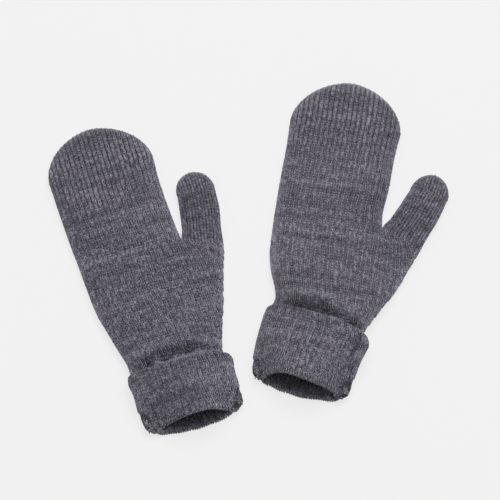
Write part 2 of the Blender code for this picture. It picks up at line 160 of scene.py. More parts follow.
LEFT = Pattern(
    name="left", upper="back", lower="palm", turn_deg=17.0, place=(-38.4, -130.1),
    cuff=(
        # left_x left_y right_x right_y bow bottom seam top soft
        (-36.4, 10.5, 37.0, 9.6, 10.0, 0.0, 13.6, 28.0, 35),
        (-37.5, 19.0, 37.6, 18.0, 4.5, 0.0, 13.4, 27.8, 35),
        (-37.5, 29.0, 37.6, 27.4, 0.8, 0.0, 12.8, 27.0, 34),
        (-38.6, 37.5, 38.8, 34.8, 0.3, 0.0, 12.0, 25.6, 33),
        (-37.6, 43.0, 37.4, 39.6, 0.4, 0.0, 11.2, 24.4, 32),
    ),
    wrist=(
        (-34.4, 45.6, 33.6, 42.4, -2.4, 3.4, 9.6, 19.6, 27),
        (-35.2, 55.0, 35.8, 53.0, -1.0, 0.6, 8.2, 17.2, 23),
    ),
    body=(
        # the same, then fork_x fork_y, where the hand's columns meet the thumb's
        (-37.8, 67.0, 40.2, 67.0, 0.0, 0.0, 7.0, 15.0, 19, 19.5, 67.0),
        (-41.2, 82.0, 45.2, 81.0, 0.0, 0.0, 6.3, 13.4, 16, 22.5, 81.5),
        (-45.0, 99.0, 50.0, 97.0, 0.0, 0.0, 5.9, 12.6, 14, 26.0, 98.5),
        (-46.6, 118.0, 54.6, 112.0, 0.0, 0.0, 5.6, 12.2, 13, 28.6, 117.5),
        (-47.7, 139.0, 58.8, 125.0, 0.0, 0.0, 5.4, 12.0, 12, 30.2, 139.4),
    ),
    hand=(
        (-48.4, 150.0, 29.4, 150.0, 0.0, 0.0, 5.4, 12.2, 12),
        (-49.6, 170.0, 28.5, 170.0, 0.0, 0.0, 5.4, 12.4, 12),
        (-50.5, 192.0, 28.2, 192.0, 0.0, 0.0, 5.4, 12.2, 12),
        (-51.2, 213.0, 29.3, 213.0, 0.0, 0.0, 5.4, 11.8, 12),
    ),
    tip=(36.0, 1.85),
    thumb=(
        (32.6, 147.0, 61.6, 141.0, 0.0, 0.0, 5.4, 12.0, 11),
        (34.8, 159.0, 65.0, 157.0, 0.0, 0.0, 5.4, 12.0, 11),
        (37.4, 175.0, 66.6, 176.0, 0.0, 0.0, 5.4, 11.8, 11),
    ),
    thumb_tip=(16.2, 2.08),
    guide=((34.0, 40.0), (33.4, 67.0), (32.0, 99.0), (30.2, 139.4)),
    upper_lip=(
        (-36.4, 12.4, 7.6), (-35.6, 7.4, 6.8), (-34.4, 4.0, 6.3), (-32.3, 2.1, 6.2), (-30.0, 1.0, 6.6),
        (-27.6, 1.6, 7.4), (-25.4, 3.7, 9.0), (-22.5, 4.1, 11.8), (-18.5, 3.8, 15.8), (-13.8, 3.4, 20.0),
        (-7.0, 3.2, 24.6), (0.0, 2.7, 27.2), (8.0, 2.3, 28.2), (14.0, 2.2, 26.4), (19.0, 2.3, 22.0),
        (23.5, 2.8, 15.5), (26.5, 2.7, 11.0), (29.4, 0.4, 8.0), (33.0, 1.3, 6.6), (35.5, 3.6, 6.6),
        (36.5, 5.8, 6.9), (37.0, 10.4, 7.6),
    ),
    lower_lip=(
        (-36.4, 12.4), (-34.4, 7.8), (-32.3, 5.6), (-30.0, 3.6), (-25.3, 1.2), (-19.6, 0.3), (-12.6, -1.1),
        (-5.3, -1.5), (1.9, -2.1), (9.6, -1.3), (17.1, -0.8), (21.0, 0.0), (25.3, 1.3), (29.6, 3.2),
        (33.6, 5.8), (35.6, 8.0), (37.0, 10.4),
    ),
    creases=(
        Crease(((-34, 45.5), (-27, 47.0), (-21, 47.6)), 4.4, 11.0),
        Crease(((-20, 49.6), (-12, 50.6)), 3.6, 4.5),
        Crease(((-7, 50.6), (0, 51.4), (9, 51.4)), 4.2, 8.5),
        Crease(((14, 51.0), (24, 49.4), (33, 46.4)), 3.6, 5.0),
        Crease(((-28, 58), (-10, 60), (8, 60.5)), 4.5, -1.2),
        Crease(((0, 64), (20, 62), (38, 60)), 5.0, 1.0),
        Crease(((-36, 72.4), (-16, 74), (6, 75.8)), 5.0, 0.9),
        Crease(((-14, 89.6), (12, 88), (38, 86.4)), 6.0, 0.7),
        Crease(((-32, 105.6), (-8, 108), (16, 110.4)), 6.0, 0.5),
        Crease(((31, 138.5), (45, 131.8), (58, 125.4)), 2.2, 0.9),
        Crease(((45, 126.5), (49, 121.5)), 1.2, 0.9),
        Crease(((51.5, 117.5), (54, 113.5)), 1.2, 1.4),
    ),
    # Painted shade: the cuff rim's shadow on the wrist, and darker shading over the hand and thumb.
    shade_patches=(
        ShadePatch((-28.0, 46.5), (8.0, 4.5), -0.09),
        ShadePatch((24.0, 49.0), (13.0, 5.0), -0.07),
        ShadePatch((-28.0, 127.0), (14.0, 7.0), -0.05),
        ShadePatch((0.0, 120.0), (20.0, 7.0), -0.05),
        ShadePatch((-40.0, 192.0), (12.0, 8.0), -0.05),
        ShadePatch((52.0, 124.0), (8.0, 4.0), -0.05),
        ShadePatch((-46.0, 150.0), (7.0, 80.0), -0.03),
        ShadePatch((-14.0, 66.0), (16.0, 6.0), -0.06),
        ShadePatch((28.0, 61.0), (11.0, 7.0), -0.04),
        ShadePatch((-13.0, 84.0), (14.0, 7.0), -0.04),
    ),
    # Painted shade over the cuff's outer layer.
    cuff_shade_patches=(
        ShadePatch((-4.0, 33.0), (30.0, 7.0), -0.05),
        ShadePatch((34.0, 34.0), (9.0, 8.0), -0.08),
    ),
)

RIGHT = Pattern(
    name="right", upper="palm", lower="back", turn_deg=-8.6, place=(36.9, -105.3),
    cuff=(
        (-36.8, 10.6, 35.2, 5.4, 8.0, 0.0, 14.2, 30.0, 35),
        (-37.5, 20.0, 37.6, 14.6, 4.0, 0.0, 14.0, 29.6, 35),
        (-36.6, 33.0, 40.4, 26.0, 1.0, 0.0, 13.2, 28.4, 34),
        (-35.0, 48.4, 44.0, 37.8, -0.6, 0.0, 12.2, 26.6, 33),
        (-33.2, 55.9, 42.0, 43.9, -1.3, 0.0, 11.4, 25.2, 32),
    ),
    wrist=(
        (-29.6, 59.4, 38.6, 47.6, -2.4, 3.4, 10.0, 20.2, 27),
        (-28.4, 67.0, 43.4, 58.0, -1.0, 0.6, 8.4, 17.6, 23),
    ),
    body=(
        (-30.6, 77.0, 50.4, 72.0, 0.0, 0.0, 7.2, 15.4, 19, 25.0, 73.6),
        (-34.6, 88.0, 56.0, 82.0, 0.0, 0.0, 6.4, 13.8, 16, 30.0, 84.0),
        (-37.6, 102.0, 60.8, 93.0, 0.0, 0.0, 6.0, 12.8, 14, 35.0, 99.0),
        (-38.4, 118.0, 64.8, 104.6, 0.0, 0.0, 5.6, 12.2, 13, 38.6, 116.0),
        (-38.7, 134.0, 69.6, 115.6, 0.0, 0.0, 5.4, 12.0, 12, 41.0, 134.6),
    ),
    hand=(
        (-38.8, 147.0, 40.2, 147.0, 0.0, 0.0, 5.4, 12.2, 12),
        (-38.6, 168.0, 42.2, 168.0, 0.0, 0.0, 5.4, 12.4, 12),
        (-38.2, 192.0, 43.2, 192.0, 0.0, 0.0, 5.4, 12.2, 12),
        (-38.6, 215.0, 45.4, 215.0, 0.0, 0.0, 5.4, 11.8, 12),
    ),
    tip=(38.4, 1.83),
    thumb=(
        (46.4, 144.0, 75.6, 132.4, 0.0, 0.0, 5.4, 12.0, 11),
        (52.0, 156.0, 81.6, 147.4, 0.0, 0.0, 5.4, 12.0, 11),
        (58.2, 170.4, 87.0, 165.4, 0.0, 0.0, 5.4, 11.8, 11),
    ),
    thumb_tip=(17.0, 1.95),
    guide=((38.0, 45.0), (41.0, 72.0), (41.5, 100.0), (41.0, 134.6)),
    upper_lip=(
        (-36.8, 12.4, 7.6), (-35.5, 7.2, 6.7), (-32.9, 4.5, 6.4), (-30.6, 4.4, 7.8), (-27.8, 6.1, 12.6),
        (-25.0, 6.8, 17.0), (-22.2, 6.8, 20.6), (-18.0, 6.2, 24.4), (-10.0, 4.9, 29.0), (0.0, 2.7, 30.2),
        (6.0, 1.8, 29.0), (13.5, 1.0, 25.0), (17.5, 1.3, 21.4), (21.5, 1.4, 17.0), (25.0, 0.8, 12.0),
        (28.0, -1.8, 8.4), (31.0, -1.8, 6.8), (33.0, -0.5, 6.5), (34.4, 2.6, 6.8), (35.2, 7.2, 7.6),
    ),
    lower_lip=(
        (-36.8, 12.4), (-35.6, 10.2), (-33.5, 7.6), (-30.0, 5.3), (-26.0, 3.5), (-22.5, 3.0), (-18.6, 1.6),
        (-14.8, 0.2), (-11.0, -0.4), (-7.4, -1.0), (0.0, -2.5), (7.3, -2.6), (14.4, -2.3), (21.7, -2.4),
        (28.7, -1.0), (32.0, 1.2), (34.0, 4.2), (35.2, 7.2),
    ),
    creases=(
        Crease(((-11, 59.8), (-4, 60.2), (8, 59.2)), 4.4, 9.5),
        Crease(((-27, 59.4), (-20, 59.8), (-12, 59.8)), 2.2, 6.0),
        Crease(((12, 58.2), (20, 55.6), (30, 51.8)), 2.4, 5.5),
        Crease(((31, 51.4), (38, 48.4)), 3.4, 9.0),
        Crease(((-18, 69.5), (2, 69.5), (18, 66)), 4.5, -1.2),
        Crease(((-4, 77.4), (20, 74), (44, 70.6)), 5.0, 1.0),
        Crease(((-28, 84.8), (-8, 84), (12, 83.2)), 5.0, 0.9),
        Crease(((0, 98.9), (24, 96), (48, 93.1)), 6.0, 0.7),
        Crease(((-26, 111), (0, 112), (26, 113)), 6.0, 0.5),
        Crease(((42, 133.6), (55, 125), (68.5, 116.4)), 2.2, 0.8),
        Crease(((37, 128.2), (45.3, 125.4)), 1.2, 1.0),
    ),
    # Painted shade: the cuff rim's shadow on the wrist, and darker shading over the hand and thumb.
    shade_patches=(
        ShadePatch((6.0, 59.5), (12.0, 4.0), -0.08),
        ShadePatch((0.0, 107.0), (40.0, 7.0), -0.05),
        ShadePatch((58.0, 112.0), (10.0, 8.0), -0.06),
        ShadePatch((42.0, 150.0), (7.0, 34.0), -0.06),
        ShadePatch((40.0, 226.0), (9.0, 20.0), -0.09),
        ShadePatch((33.0, 92.0), (13.0, 7.0), -0.11),
        ShadePatch((-4.0, 119.0), (22.0, 8.0), -0.05),
        ShadePatch((25.0, 159.0), (13.0, 10.0), -0.04),
    ),
    # Painted shade over the cuff's outer layer.
    cuff_shade_patches=(
        ShadePatch((0.0, 34.0), (36.0, 9.0), -0.07),
    ),
    cuff_creases=(
        Crease(((17, 41), (28, 37)), 4.0, 0.9),
        Crease(((36.6, 41.3), (32.9, 25.1), (31.6, 13.2), (28.6, 6.0)), 1.8, 7.0),
    ),
)


def as_rows(table: tuple[tuple[float, ...], ...]) -> np.ndarray:
    """The table's rows, with the fork of an unforked row at its right end.

    Args:
        table: rows of nine or eleven plan sizes.

    Returns:
        One row of COLUMNS numbers for each.
    """
    return np.array([row if len(row) == COLUMNS else (*row, row[RIGHT_X], row[RIGHT_Y]) for row in table])


def spanning(row: np.ndarray, left: np.ndarray, right: np.ndarray) -> np.ndarray:
    """The row moved to run between two plan points.

    Args:
        row: the row whose bow and heights are kept.
        left: plan point of its new left end.
        right: plan point of its new right end.

    Returns:
        The new row, forked at its right end.
    """
    return np.concatenate([left, right, row[BOW:FORK_X], right])


def inset(row: np.ndarray, depth: float, forward: float = 0.0) -> np.ndarray:
    """The row of a face that lies that deep inside another, and that much further from the mouth.

    Args:
        row: the outer face's row.
        depth: how deep inside it the face lies.
        forward: how far the row moves from the mouth.

    Returns:
        The inner face's row.
    """
    left = row[LEFT_END] + (depth, forward)
    right = row[RIGHT_END] + (-depth, forward)
    moved = spanning(row, left, right)
    moved[BOTTOM] += depth
    moved[TOP] -= depth
    moved[SOFT] -= depth
    return moved


def hermite(
    share: np.ndarray | float, start: np.ndarray, leaving: np.ndarray, end: np.ndarray, arriving: np.ndarray
) -> np.ndarray:
    """Points on a smooth curve from one point to another.

    Args:
        share: how far along the curve the points are, from 0 to 1.
        start: the first point.
        leaving: the curve's slope there.
        end: the last point.
        arriving: the curve's slope there.

    Returns:
        The points.
    """
    square, cube = share**2, share**3
    return (
        (2 * cube - 3 * square + 1) * start + (cube - 2 * square + share) * leaving
        + (3 * square - 2 * cube) * end + (cube - square) * arriving
    )


def smooth(
    table: np.ndarray, before: np.ndarray | None = None, after: np.ndarray | None = None, step: float = 2.0
) -> np.ndarray:
    """Rows on a smooth curve through the table's rows.

    Args:
        table: the rows that the curve passes through.
        before: the row before the first, where the curve comes from another piece.
        after: the row after the last, where it runs on into another piece.
        step: about how far apart the new rows are.

    Returns:
        The new rows, with the table's own among them.
    """
    last = len(table) - 1
    padded = np.vstack([
        table[0] if before is None else before, table, table[last] if after is None else after
    ])
    spans = np.full((len(table), 1), 2.0)
    spans[0] -= before is None
    spans[last] -= after is None
    slopes = (padded[2:] - padded[:-2]) / spans
    rows = []
    for i in range(last):
        both_ends = table[i + 1, :BOW] - table[i, :BOW]
        count = max(1, round(np.linalg.norm(both_ends) / math.sqrt(2) / step))
        for share in np.arange(count) / count:
            rows.append(hermite(share, table[i], slopes[i], table[i + 1], slopes[i + 1]))
    rows.append(table[last])
    return np.array(rows)


def shares(count: int) -> np.ndarray:
    """Numbers from 0 to 1, closest together at both ends, where the cloth turns over."""
    return (1 - np.cos(np.pi * np.arange(count + 1) / count)) / 2


def through(points: np.ndarray, stops: np.ndarray) -> np.ndarray:
    """A smooth curve through points that are in order of their first number.

    Args:
        points: the points.
        stops: first numbers at which the curve is wanted.

    Returns:
        The curve's other numbers at each stop.
    """
    x, values = points[:, 0], points[:, 1:]
    slopes = np.gradient(values, x, axis=0)
    i = np.clip(np.searchsorted(x, stops) - 1, 0, len(x) - 2)
    span = (x[i + 1] - x[i])[:, None]
    share = (stops[:, None] - x[i, None]) / span
    return hermite(share, values[i], span * slopes[i], values[i + 1], span * slopes[i + 1])


def bowed(row: np.ndarray, points: np.ndarray) -> np.ndarray:
    """Moves plan points towards the mouth by the row's bow, which fades at its two ends.

    Args:
        row: the row.
        points: plan points on its straight line.

    Returns:
        The points on the bowed row.
    """
    across = 2 * (points[:, 0] - row[LEFT_X]) / (row[RIGHT_X] - row[LEFT_X]) - 1
    moved = points.copy()
    moved[:, 1] -= row[BOW] * (1 - np.minimum(1, np.abs(across)) ** CLOTH.side_curve)
    return moved


def row_points(row: np.ndarray, hand_columns: int, thumb_columns: int = 0) -> np.ndarray:
    """Plan points across a row: the hand's columns, then the thumb's beyond the fork.

    Args:
        row: the row.
        hand_columns: steps from its left end to its fork.
        thumb_columns: steps from its fork to its right end, none on an unforked row.

    Returns:
        The plan points from left to right.
    """
    left, right, fork = row[LEFT_END], row[RIGHT_END], row[FORK]
    points = left + (fork - left) * shares(hand_columns)[:, None]
    if thumb_columns:
        points = np.vstack([points, fork + (right - fork) * shares(thumb_columns)[1:, None]])
    return bowed(row, points)


def distances(points: np.ndarray, edges: list[np.ndarray]) -> np.ndarray:
    """How far each plan point lies from the nearest of the edges.

    Args:
        points: plan points.
        edges: lines of plan points.

    Returns:
        One distance for each point.
    """
    best = np.full(len(points), np.inf)
    for edge in edges:
        start, run = edge[:-1], np.diff(edge, axis=0)
        offset = points[:, None] - start
        share = np.clip((offset * run).sum(2) / np.maximum((run**2).sum(1), TINY), 0, 1)
        best = np.minimum(best, np.sqrt(((offset - share[..., None] * run) ** 2).sum(2)).min(1))
    return best


def quarter_round(distance: np.ndarray, width: np.ndarray | float) -> np.ndarray:
    """Height of a quarter round, from 0 to 1, at distances in from its foot."""
    return np.sqrt(1 - (1 - np.clip(distance / width, 0, 1)) ** 2)


def waves(points: np.ndarray) -> np.ndarray:
    """A gentle unevenness over the plan, drawn out across the mitten, from -1 to 1."""
    across, along, start = np.array(WAVES).T
    return np.sin(points[:, :1] / across + points[:, 1:2] / along + start).mean(1)


def softened(values: np.ndarray, reach: tuple[float, float]) -> np.ndarray:
    """Values of a lattice averaged with their neighbours and brought back to an even spread.

    Args:
        values: one value for each stitch, by row and wale.
        reach: how many rows and how many wales the averaging reaches.

    Returns:
        The softened values, with a mean of 0 and a spread of 1.
    """
    for axis, width in enumerate(reach):
        steps = np.arange(-math.ceil(3 * width), math.ceil(3 * width) + 1)
        weights = np.exp(-((steps / width) ** 2) / 2)
        pad = [(0, 0), (0, 0)]
        pad[axis] = (len(steps) // 2, len(steps) // 2)
        spread = np.pad(values, pad, mode="wrap")
        values = np.apply_along_axis(lambda line: np.convolve(line, weights, mode="valid"), axis, spread)
    return (values - values.mean()) / values.std()


@dataclass(frozen=True)
class RoundedEnd:
    """The cloth beyond its last straight row, the ring: half a superellipse in plan."""

    ring: np.ndarray
    height: float
    power: float

    @property
    def left(self) -> np.ndarray:
        """Plan point of the ring's left end."""
        return self.ring[LEFT_END]

    @property
    def right(self) -> np.ndarray:
        """Plan point of the ring's right end."""
        return self.ring[RIGHT_END]

    @property
    def middle(self) -> np.ndarray:
        """Plan point of the ring's middle."""
        return (self.left + self.right) / 2

    @property
    def onward(self) -> np.ndarray:
        """Unit plan vector at right angles to the ring, away from the mouth."""
        run = self.right - self.left
        return np.array([-run[1], run[0]]) / np.linalg.norm(run)

    def arc(self, angles: np.ndarray) -> np.ndarray:
        """Plan points on the end's edge.

        Args:
            angles: where on the edge they are, from its left (0) to its right (pi).

        Returns:
            One plan point for each angle.
        """
        cosine, sine = np.cos(angles), np.maximum(0, np.sin(angles))
        across = -np.sign(cosine) * np.abs(cosine) ** (2 / self.power)
        beyond = self.height * sine ** (2 / self.power)
        run = self.right - self.left
        return self.left + run * (1 + across[:, None]) / 2 + self.onward * beyond[:, None]

    def reach(self, point: np.ndarray, edge_inset: float) -> float:
        """How far the cloth goes on beyond a point of the ring.

        Args:
            point: the plan point.
            edge_inset: how far inside the end's edge it stops at the ring's ends.

        Returns:
            The distance, at right angles to the ring.
        """
        run = self.right - self.left
        width = np.linalg.norm(run)
        offset = abs((point - self.middle) @ run) / width + edge_inset
        return self.height * max(0.0, 1 - min(1.0, offset / (width / 2)) ** self.power) ** (1 / self.power)


@dataclass
class Form:
    """Every row of one mitten, with its edges in plan and the heights of its cloth."""

    pattern: Pattern
    arc_points: int = 60
    row_step: float = 1.5
    cuff: np.ndarray = field(init=False)
    lining: np.ndarray = field(init=False)
    trunk: np.ndarray = field(init=False)
    hand: np.ndarray = field(init=False)
    thumb: np.ndarray = field(init=False)
    hand_end: RoundedEnd = field(init=False)
    thumb_end: RoundedEnd = field(init=False)
    edges: list[np.ndarray] = field(init=False)
    cuff_edges: list[np.ndarray] = field(init=False)

    def __post_init__(self) -> None:
        """Smooths the tables and draws the edges."""
        pattern = self.pattern
        cuff, wrist, body = as_rows(pattern.cuff), as_rows(pattern.wrist), as_rows(pattern.body)
        hand, thumb = as_rows(pattern.hand), as_rows(pattern.thumb)
        first = body[0]
        share = (first[FORK_X] - first[LEFT_X]) / (first[RIGHT_X] - first[LEFT_X])
        hidden = np.array([
            inset(cuff[0], CLOTH.layer, CLOTH.inner_start), inset(cuff[2], CLOTH.layer),
            inset(cuff[3], CLOTH.layer), *wrist,
        ])
        hidden[:, FORK] = hidden[:, LEFT_END] * (1 - share) + hidden[:, RIGHT_END] * share
        trunk = np.vstack([hidden, body])
        fork_row, row_before = body[-1], body[-2]
        beyond = spanning(hand[0], hand[0][LEFT_END], thumb[0][RIGHT_END])
        beyond[FORK] = hand[0][RIGHT_END]
        step = self.row_step
        self.cuff = smooth(cuff, step=step)
        self.lining = smooth(trunk[:2], after=trunk[2], step=step)
        self.trunk = smooth(trunk[1:], before=trunk[0], after=beyond, step=step)
        self.hand = smooth(
            np.vstack([self.part(fork_row, LEFT_X, FORK_X), hand]),
            before=self.part(row_before, LEFT_X, FORK_X), step=step,
        )
        self.thumb = smooth(
            np.vstack([self.part(fork_row, FORK_X, RIGHT_X), thumb]),
            before=self.part(row_before, FORK_X, RIGHT_X), step=step,
        )
        self.hand_end = RoundedEnd(self.hand[-1], *pattern.tip)
        self.thumb_end = RoundedEnd(self.thumb[-1], *pattern.thumb_tip)
        self.edges = [self.hand_edge()]
        self.cuff_edges = [self.run_on_both(self.cuff[:, end]) for end in (LEFT_END, RIGHT_END)]

    @staticmethod
    def part(row: np.ndarray, start: int, end: int) -> np.ndarray:
        """The part of a forked row between two of its points, named by their x columns."""
        return spanning(row, row[[start, start + 1]], row[[end, end + 1]])

    @staticmethod
    def run_on(points: np.ndarray) -> np.ndarray:
        """Where a line would end if it ran straight on from its first point."""
        step = points[0] - points[1]
        return points[0] + step / np.linalg.norm(step) * CLOTH.open_run

    def run_on_both(self, points: np.ndarray) -> np.ndarray:
        """The line with both its ends run straight on."""
        return np.vstack([self.run_on(points), points, self.run_on(points[::-1])])

    def hand_edge(self) -> np.ndarray:
        """The hand's edge from the mouth up its left side, round both ends and down its right side.

        Returns:
            The edge's plan points.
        """
        sides = np.vstack([self.lining, self.trunk[1:]])
        left, right = sides[:, LEFT_END], sides[:, RIGHT_END]
        angles = np.pi * np.arange(1, self.arc_points) / self.arc_points
        return np.vstack([
            self.run_on(left), left, self.hand[1:, LEFT_END],
            self.hand_end.arc(angles), self.hand[::-1, RIGHT_END],
            self.thumb[1:, LEFT_END], self.thumb_end.arc(angles),
            self.thumb[:0:-1, RIGHT_END], right[::-1], self.run_on(right),
        ])

    @staticmethod
    def trough(points: np.ndarray, creases: tuple[Crease, ...]) -> np.ndarray:
        """How far creases lower the upper side.

        Args:
            points: plan points.
            creases: the creases.

        Returns:
            One depth for each point.
        """
        depth = np.zeros(len(points))
        for crease in creases:
            line = np.array(crease.line, float)
            away = distances(points, [line])
            depth += crease.depth * np.exp(-((away / crease.half_width) ** 2))
        return depth

    def painted_light_tone(self, lattice: np.ndarray, cuff: bool = False) -> np.ndarray:
        """What the patches of painted shade and the painted sheen of the fuzz at the edges add to the tone of
        the cloth.

        Args:
            lattice: stitch places, in the mitten's own millimetres.
            cuff: True on the cuff.

        Returns:
            What is added at each place.
        """
        plan = lattice[..., :2]
        edges = self.cuff_edges if cuff else self.edges
        away = distances(plan.reshape(-1, 2), edges).reshape(plan.shape[:-1])
        tone = CLOTH.edge_painted_sheen * np.exp(-((away / CLOTH.edge_sheen_reach) ** 2))
        for patch in self.pattern.cuff_shade_patches if cuff else self.pattern.shade_patches:
            offset = (plan - patch.middle) / patch.reach
            tone += patch.tone * np.exp(-(offset**2).sum(-1))
        return tone

    def lift(
        self, row: np.ndarray, points: np.ndarray, side: Side, cuff: bool = False, depth: float = 0.0
    ) -> np.ndarray:
        """Plan points of one row at the height of the cloth's face.

        Args:
            row: the row whose heights the points take.
            points: plan points.
            side: the side of the mitten that the face is on.
            cuff: True on the cuff's outer layer, which has its own edges.
            depth: how deep inside the edges the face lies.

        Returns:
            The points in space, in the mitten's own millimetres.
        """
        away = distances(points, self.cuff_edges if cuff else self.edges) - depth
        half_gap = CLOTH.seam_gap / 2
        if side is Side.UPPER:
            rise = quarter_round(away, row[SOFT])
            height = row[SEAM] + half_gap + (row[TOP] - row[SEAM] - half_gap) * rise
            if not depth:
                creases = self.pattern.cuff_creases if cuff else self.pattern.creases
                height += (CLOTH.waviness * waves(points) - self.trough(points, creases)) * rise**2
        else:
            rise = quarter_round(away, CLOTH.floor_round * row[SEAM])
            height = row[SEAM] - half_gap - (row[SEAM] - half_gap - row[BOTTOM]) * rise
        return np.column_stack([points, height])

    def placed(self, points: np.ndarray) -> np.ndarray:
        """Turns and moves points to the mitten's place.

        Args:
            points: points in the mitten's own millimetres.

        Returns:
            The same points in the row frame, in metres.
        """
        turn = math.radians(self.pattern.turn_deg)
        cosine, sine = math.cos(turn), math.sin(turn)
        x = points[..., 0] * cosine - points[..., 1] * sine + self.pattern.place[0] + PAIR_SHIFT[0]
        y = points[..., 0] * sine + points[..., 1] * cosine + self.pattern.place[1] + PAIR_SHIFT[1]
        return np.stack([x, y, points[..., 2]], axis=-1) * MM


def lengths_along(line: np.ndarray) -> np.ndarray:
    """How far along a line each of its points lies, from 0."""
    return np.concatenate([[0], np.cumsum(np.linalg.norm(np.diff(line, axis=0), axis=1))])


def length_of(line: np.ndarray) -> float:
    """The length of a line of points."""
    return float(np.linalg.norm(np.diff(line, axis=0), axis=1).sum())


def along_line(line: np.ndarray, stops: np.ndarray) -> np.ndarray:
    """Points at given lengths along a line in space.

    Args:
        line: the line's points.
        stops: lengths from its start.

    Returns:
        One point for each stop, not a number where the line is too short.
    """
    reach = lengths_along(line)
    points = np.stack([np.interp(stops, reach, line[:, axis]) for axis in range(3)], axis=1)
    points[stops > reach[-1]] = np.nan
    return points


def wale_middles(count: int, width: float) -> np.ndarray:
    """How far along a row of that width the middles of its wales lie."""
    return (np.arange(count) + 0.5) / count * width


def in_courses(rows: list[np.ndarray]) -> np.ndarray:
    """Rows of stitches an even step apart.

    Args:
        rows: close rows of points, one point for each wale, not a number where a wale is missing.

    Returns:
        The rows of stitches.
    """
    rows = np.array(rows)
    gaps = np.nanmean(np.linalg.norm(np.diff(rows, axis=0), axis=2), axis=1)
    reach = np.concatenate([[0], np.cumsum(gaps)])
    stops = np.linspace(0, reach[-1], max(2, round(reach[-1] / CLOTH.course) + 1))
    index = np.clip(np.searchsorted(reach, stops) - 1, 0, len(rows) - 2)
    share = ((stops - reach[index]) / (reach[index + 1] - reach[index]))[:, None, None]
    return rows[index] * (1 - share) + rows[index + 1] * share


def central_steps(points: np.ndarray, axis: int, stretch: float = 1.5) -> np.ndarray:
    """The step from each point of a lattice to the next along an axis, averaged over both sides.

    Args:
        points: the lattice.
        axis: the axis.
        stretch: how many times the shorter of both sides' steps the average may be.

    Returns:
        One step for each point, not a number where it has no neighbour.
    """
    ahead = np.full_like(points, np.nan)
    behind = np.full_like(points, np.nan)
    steps = np.diff(points, axis=axis)
    if axis == 0:
        ahead[:-1], behind[1:] = steps, steps
    else:
        ahead[:, :-1], behind[:, 1:] = steps, steps
    lone = np.where(np.isnan(ahead), behind, ahead)
    step = np.where(np.isnan(ahead) | np.isnan(behind), lone, (ahead + behind) / 2)
    lengths = [np.linalg.norm(side, axis=-1, keepdims=True) for side in (ahead, behind, step)]
    return step * np.minimum(1, stretch * np.fmin(lengths[0], lengths[1]) / lengths[2])


def maths(
    tree: bpy.types.NodeTree, operation: str, *values: bpy.types.NodeSocket | float
) -> bpy.types.NodeSocket:
    """Adds a Math node to a tree.

    Args:
        tree: the tree.
        operation: the node's operation.
        values: its inputs in order, numbers or other nodes' outputs.

    Returns:
        The node's output.
    """
    made = tree.nodes.new("ShaderNodeMath")
    made.operation = operation
    for socket, value in zip(made.inputs, values):
        if isinstance(value, bpy.types.NodeSocket):
            tree.links.new(value, socket)
        else:
            socket.default_value = value
    return made.outputs[0]


def set_inputs(node: bpy.types.Node, values: dict[str, object]) -> None:
    """Sets a node's inputs by name."""
    for name, value in values.items():
        node.inputs[name].default_value = value


def add_object(name: str, data: bpy.types.ID) -> bpy.types.Object:
    """Adds an object to the scene.

    Args:
        name: its name.
        data: its mesh, light or camera.

    Returns:
        The object.
    """
    made = bpy.data.objects.new(name, data)
    bpy.context.scene.collection.objects.link(made)
    return made


def store(mesh: bpy.types.Mesh, name: str, kind: str, values: np.ndarray) -> None:
    """Stores an attribute with one value for each corner of a mesh.

    Args:
        mesh: the mesh.
        name: the attribute's name.
        kind: its data type.
        values: its values.
    """
    attribute = mesh.attributes.new(name, kind, "POINT")
    key = "vector" if kind == "FLOAT_VECTOR" else "value"
    attribute.data.foreach_set(key, values.astype(np.float32).ravel())


def baked(piece: bpy.types.Object) -> bpy.types.Mesh:
    """Makes a plain mesh of an object as its modifiers leave it.

    Args:
        piece: the object.

    Returns:
        The new mesh.
    """
    bpy.context.view_layer.update()
    graph = bpy.context.evaluated_depsgraph_get()
    return bpy.data.meshes.new_from_object(piece.evaluated_get(graph), depsgraph=graph)


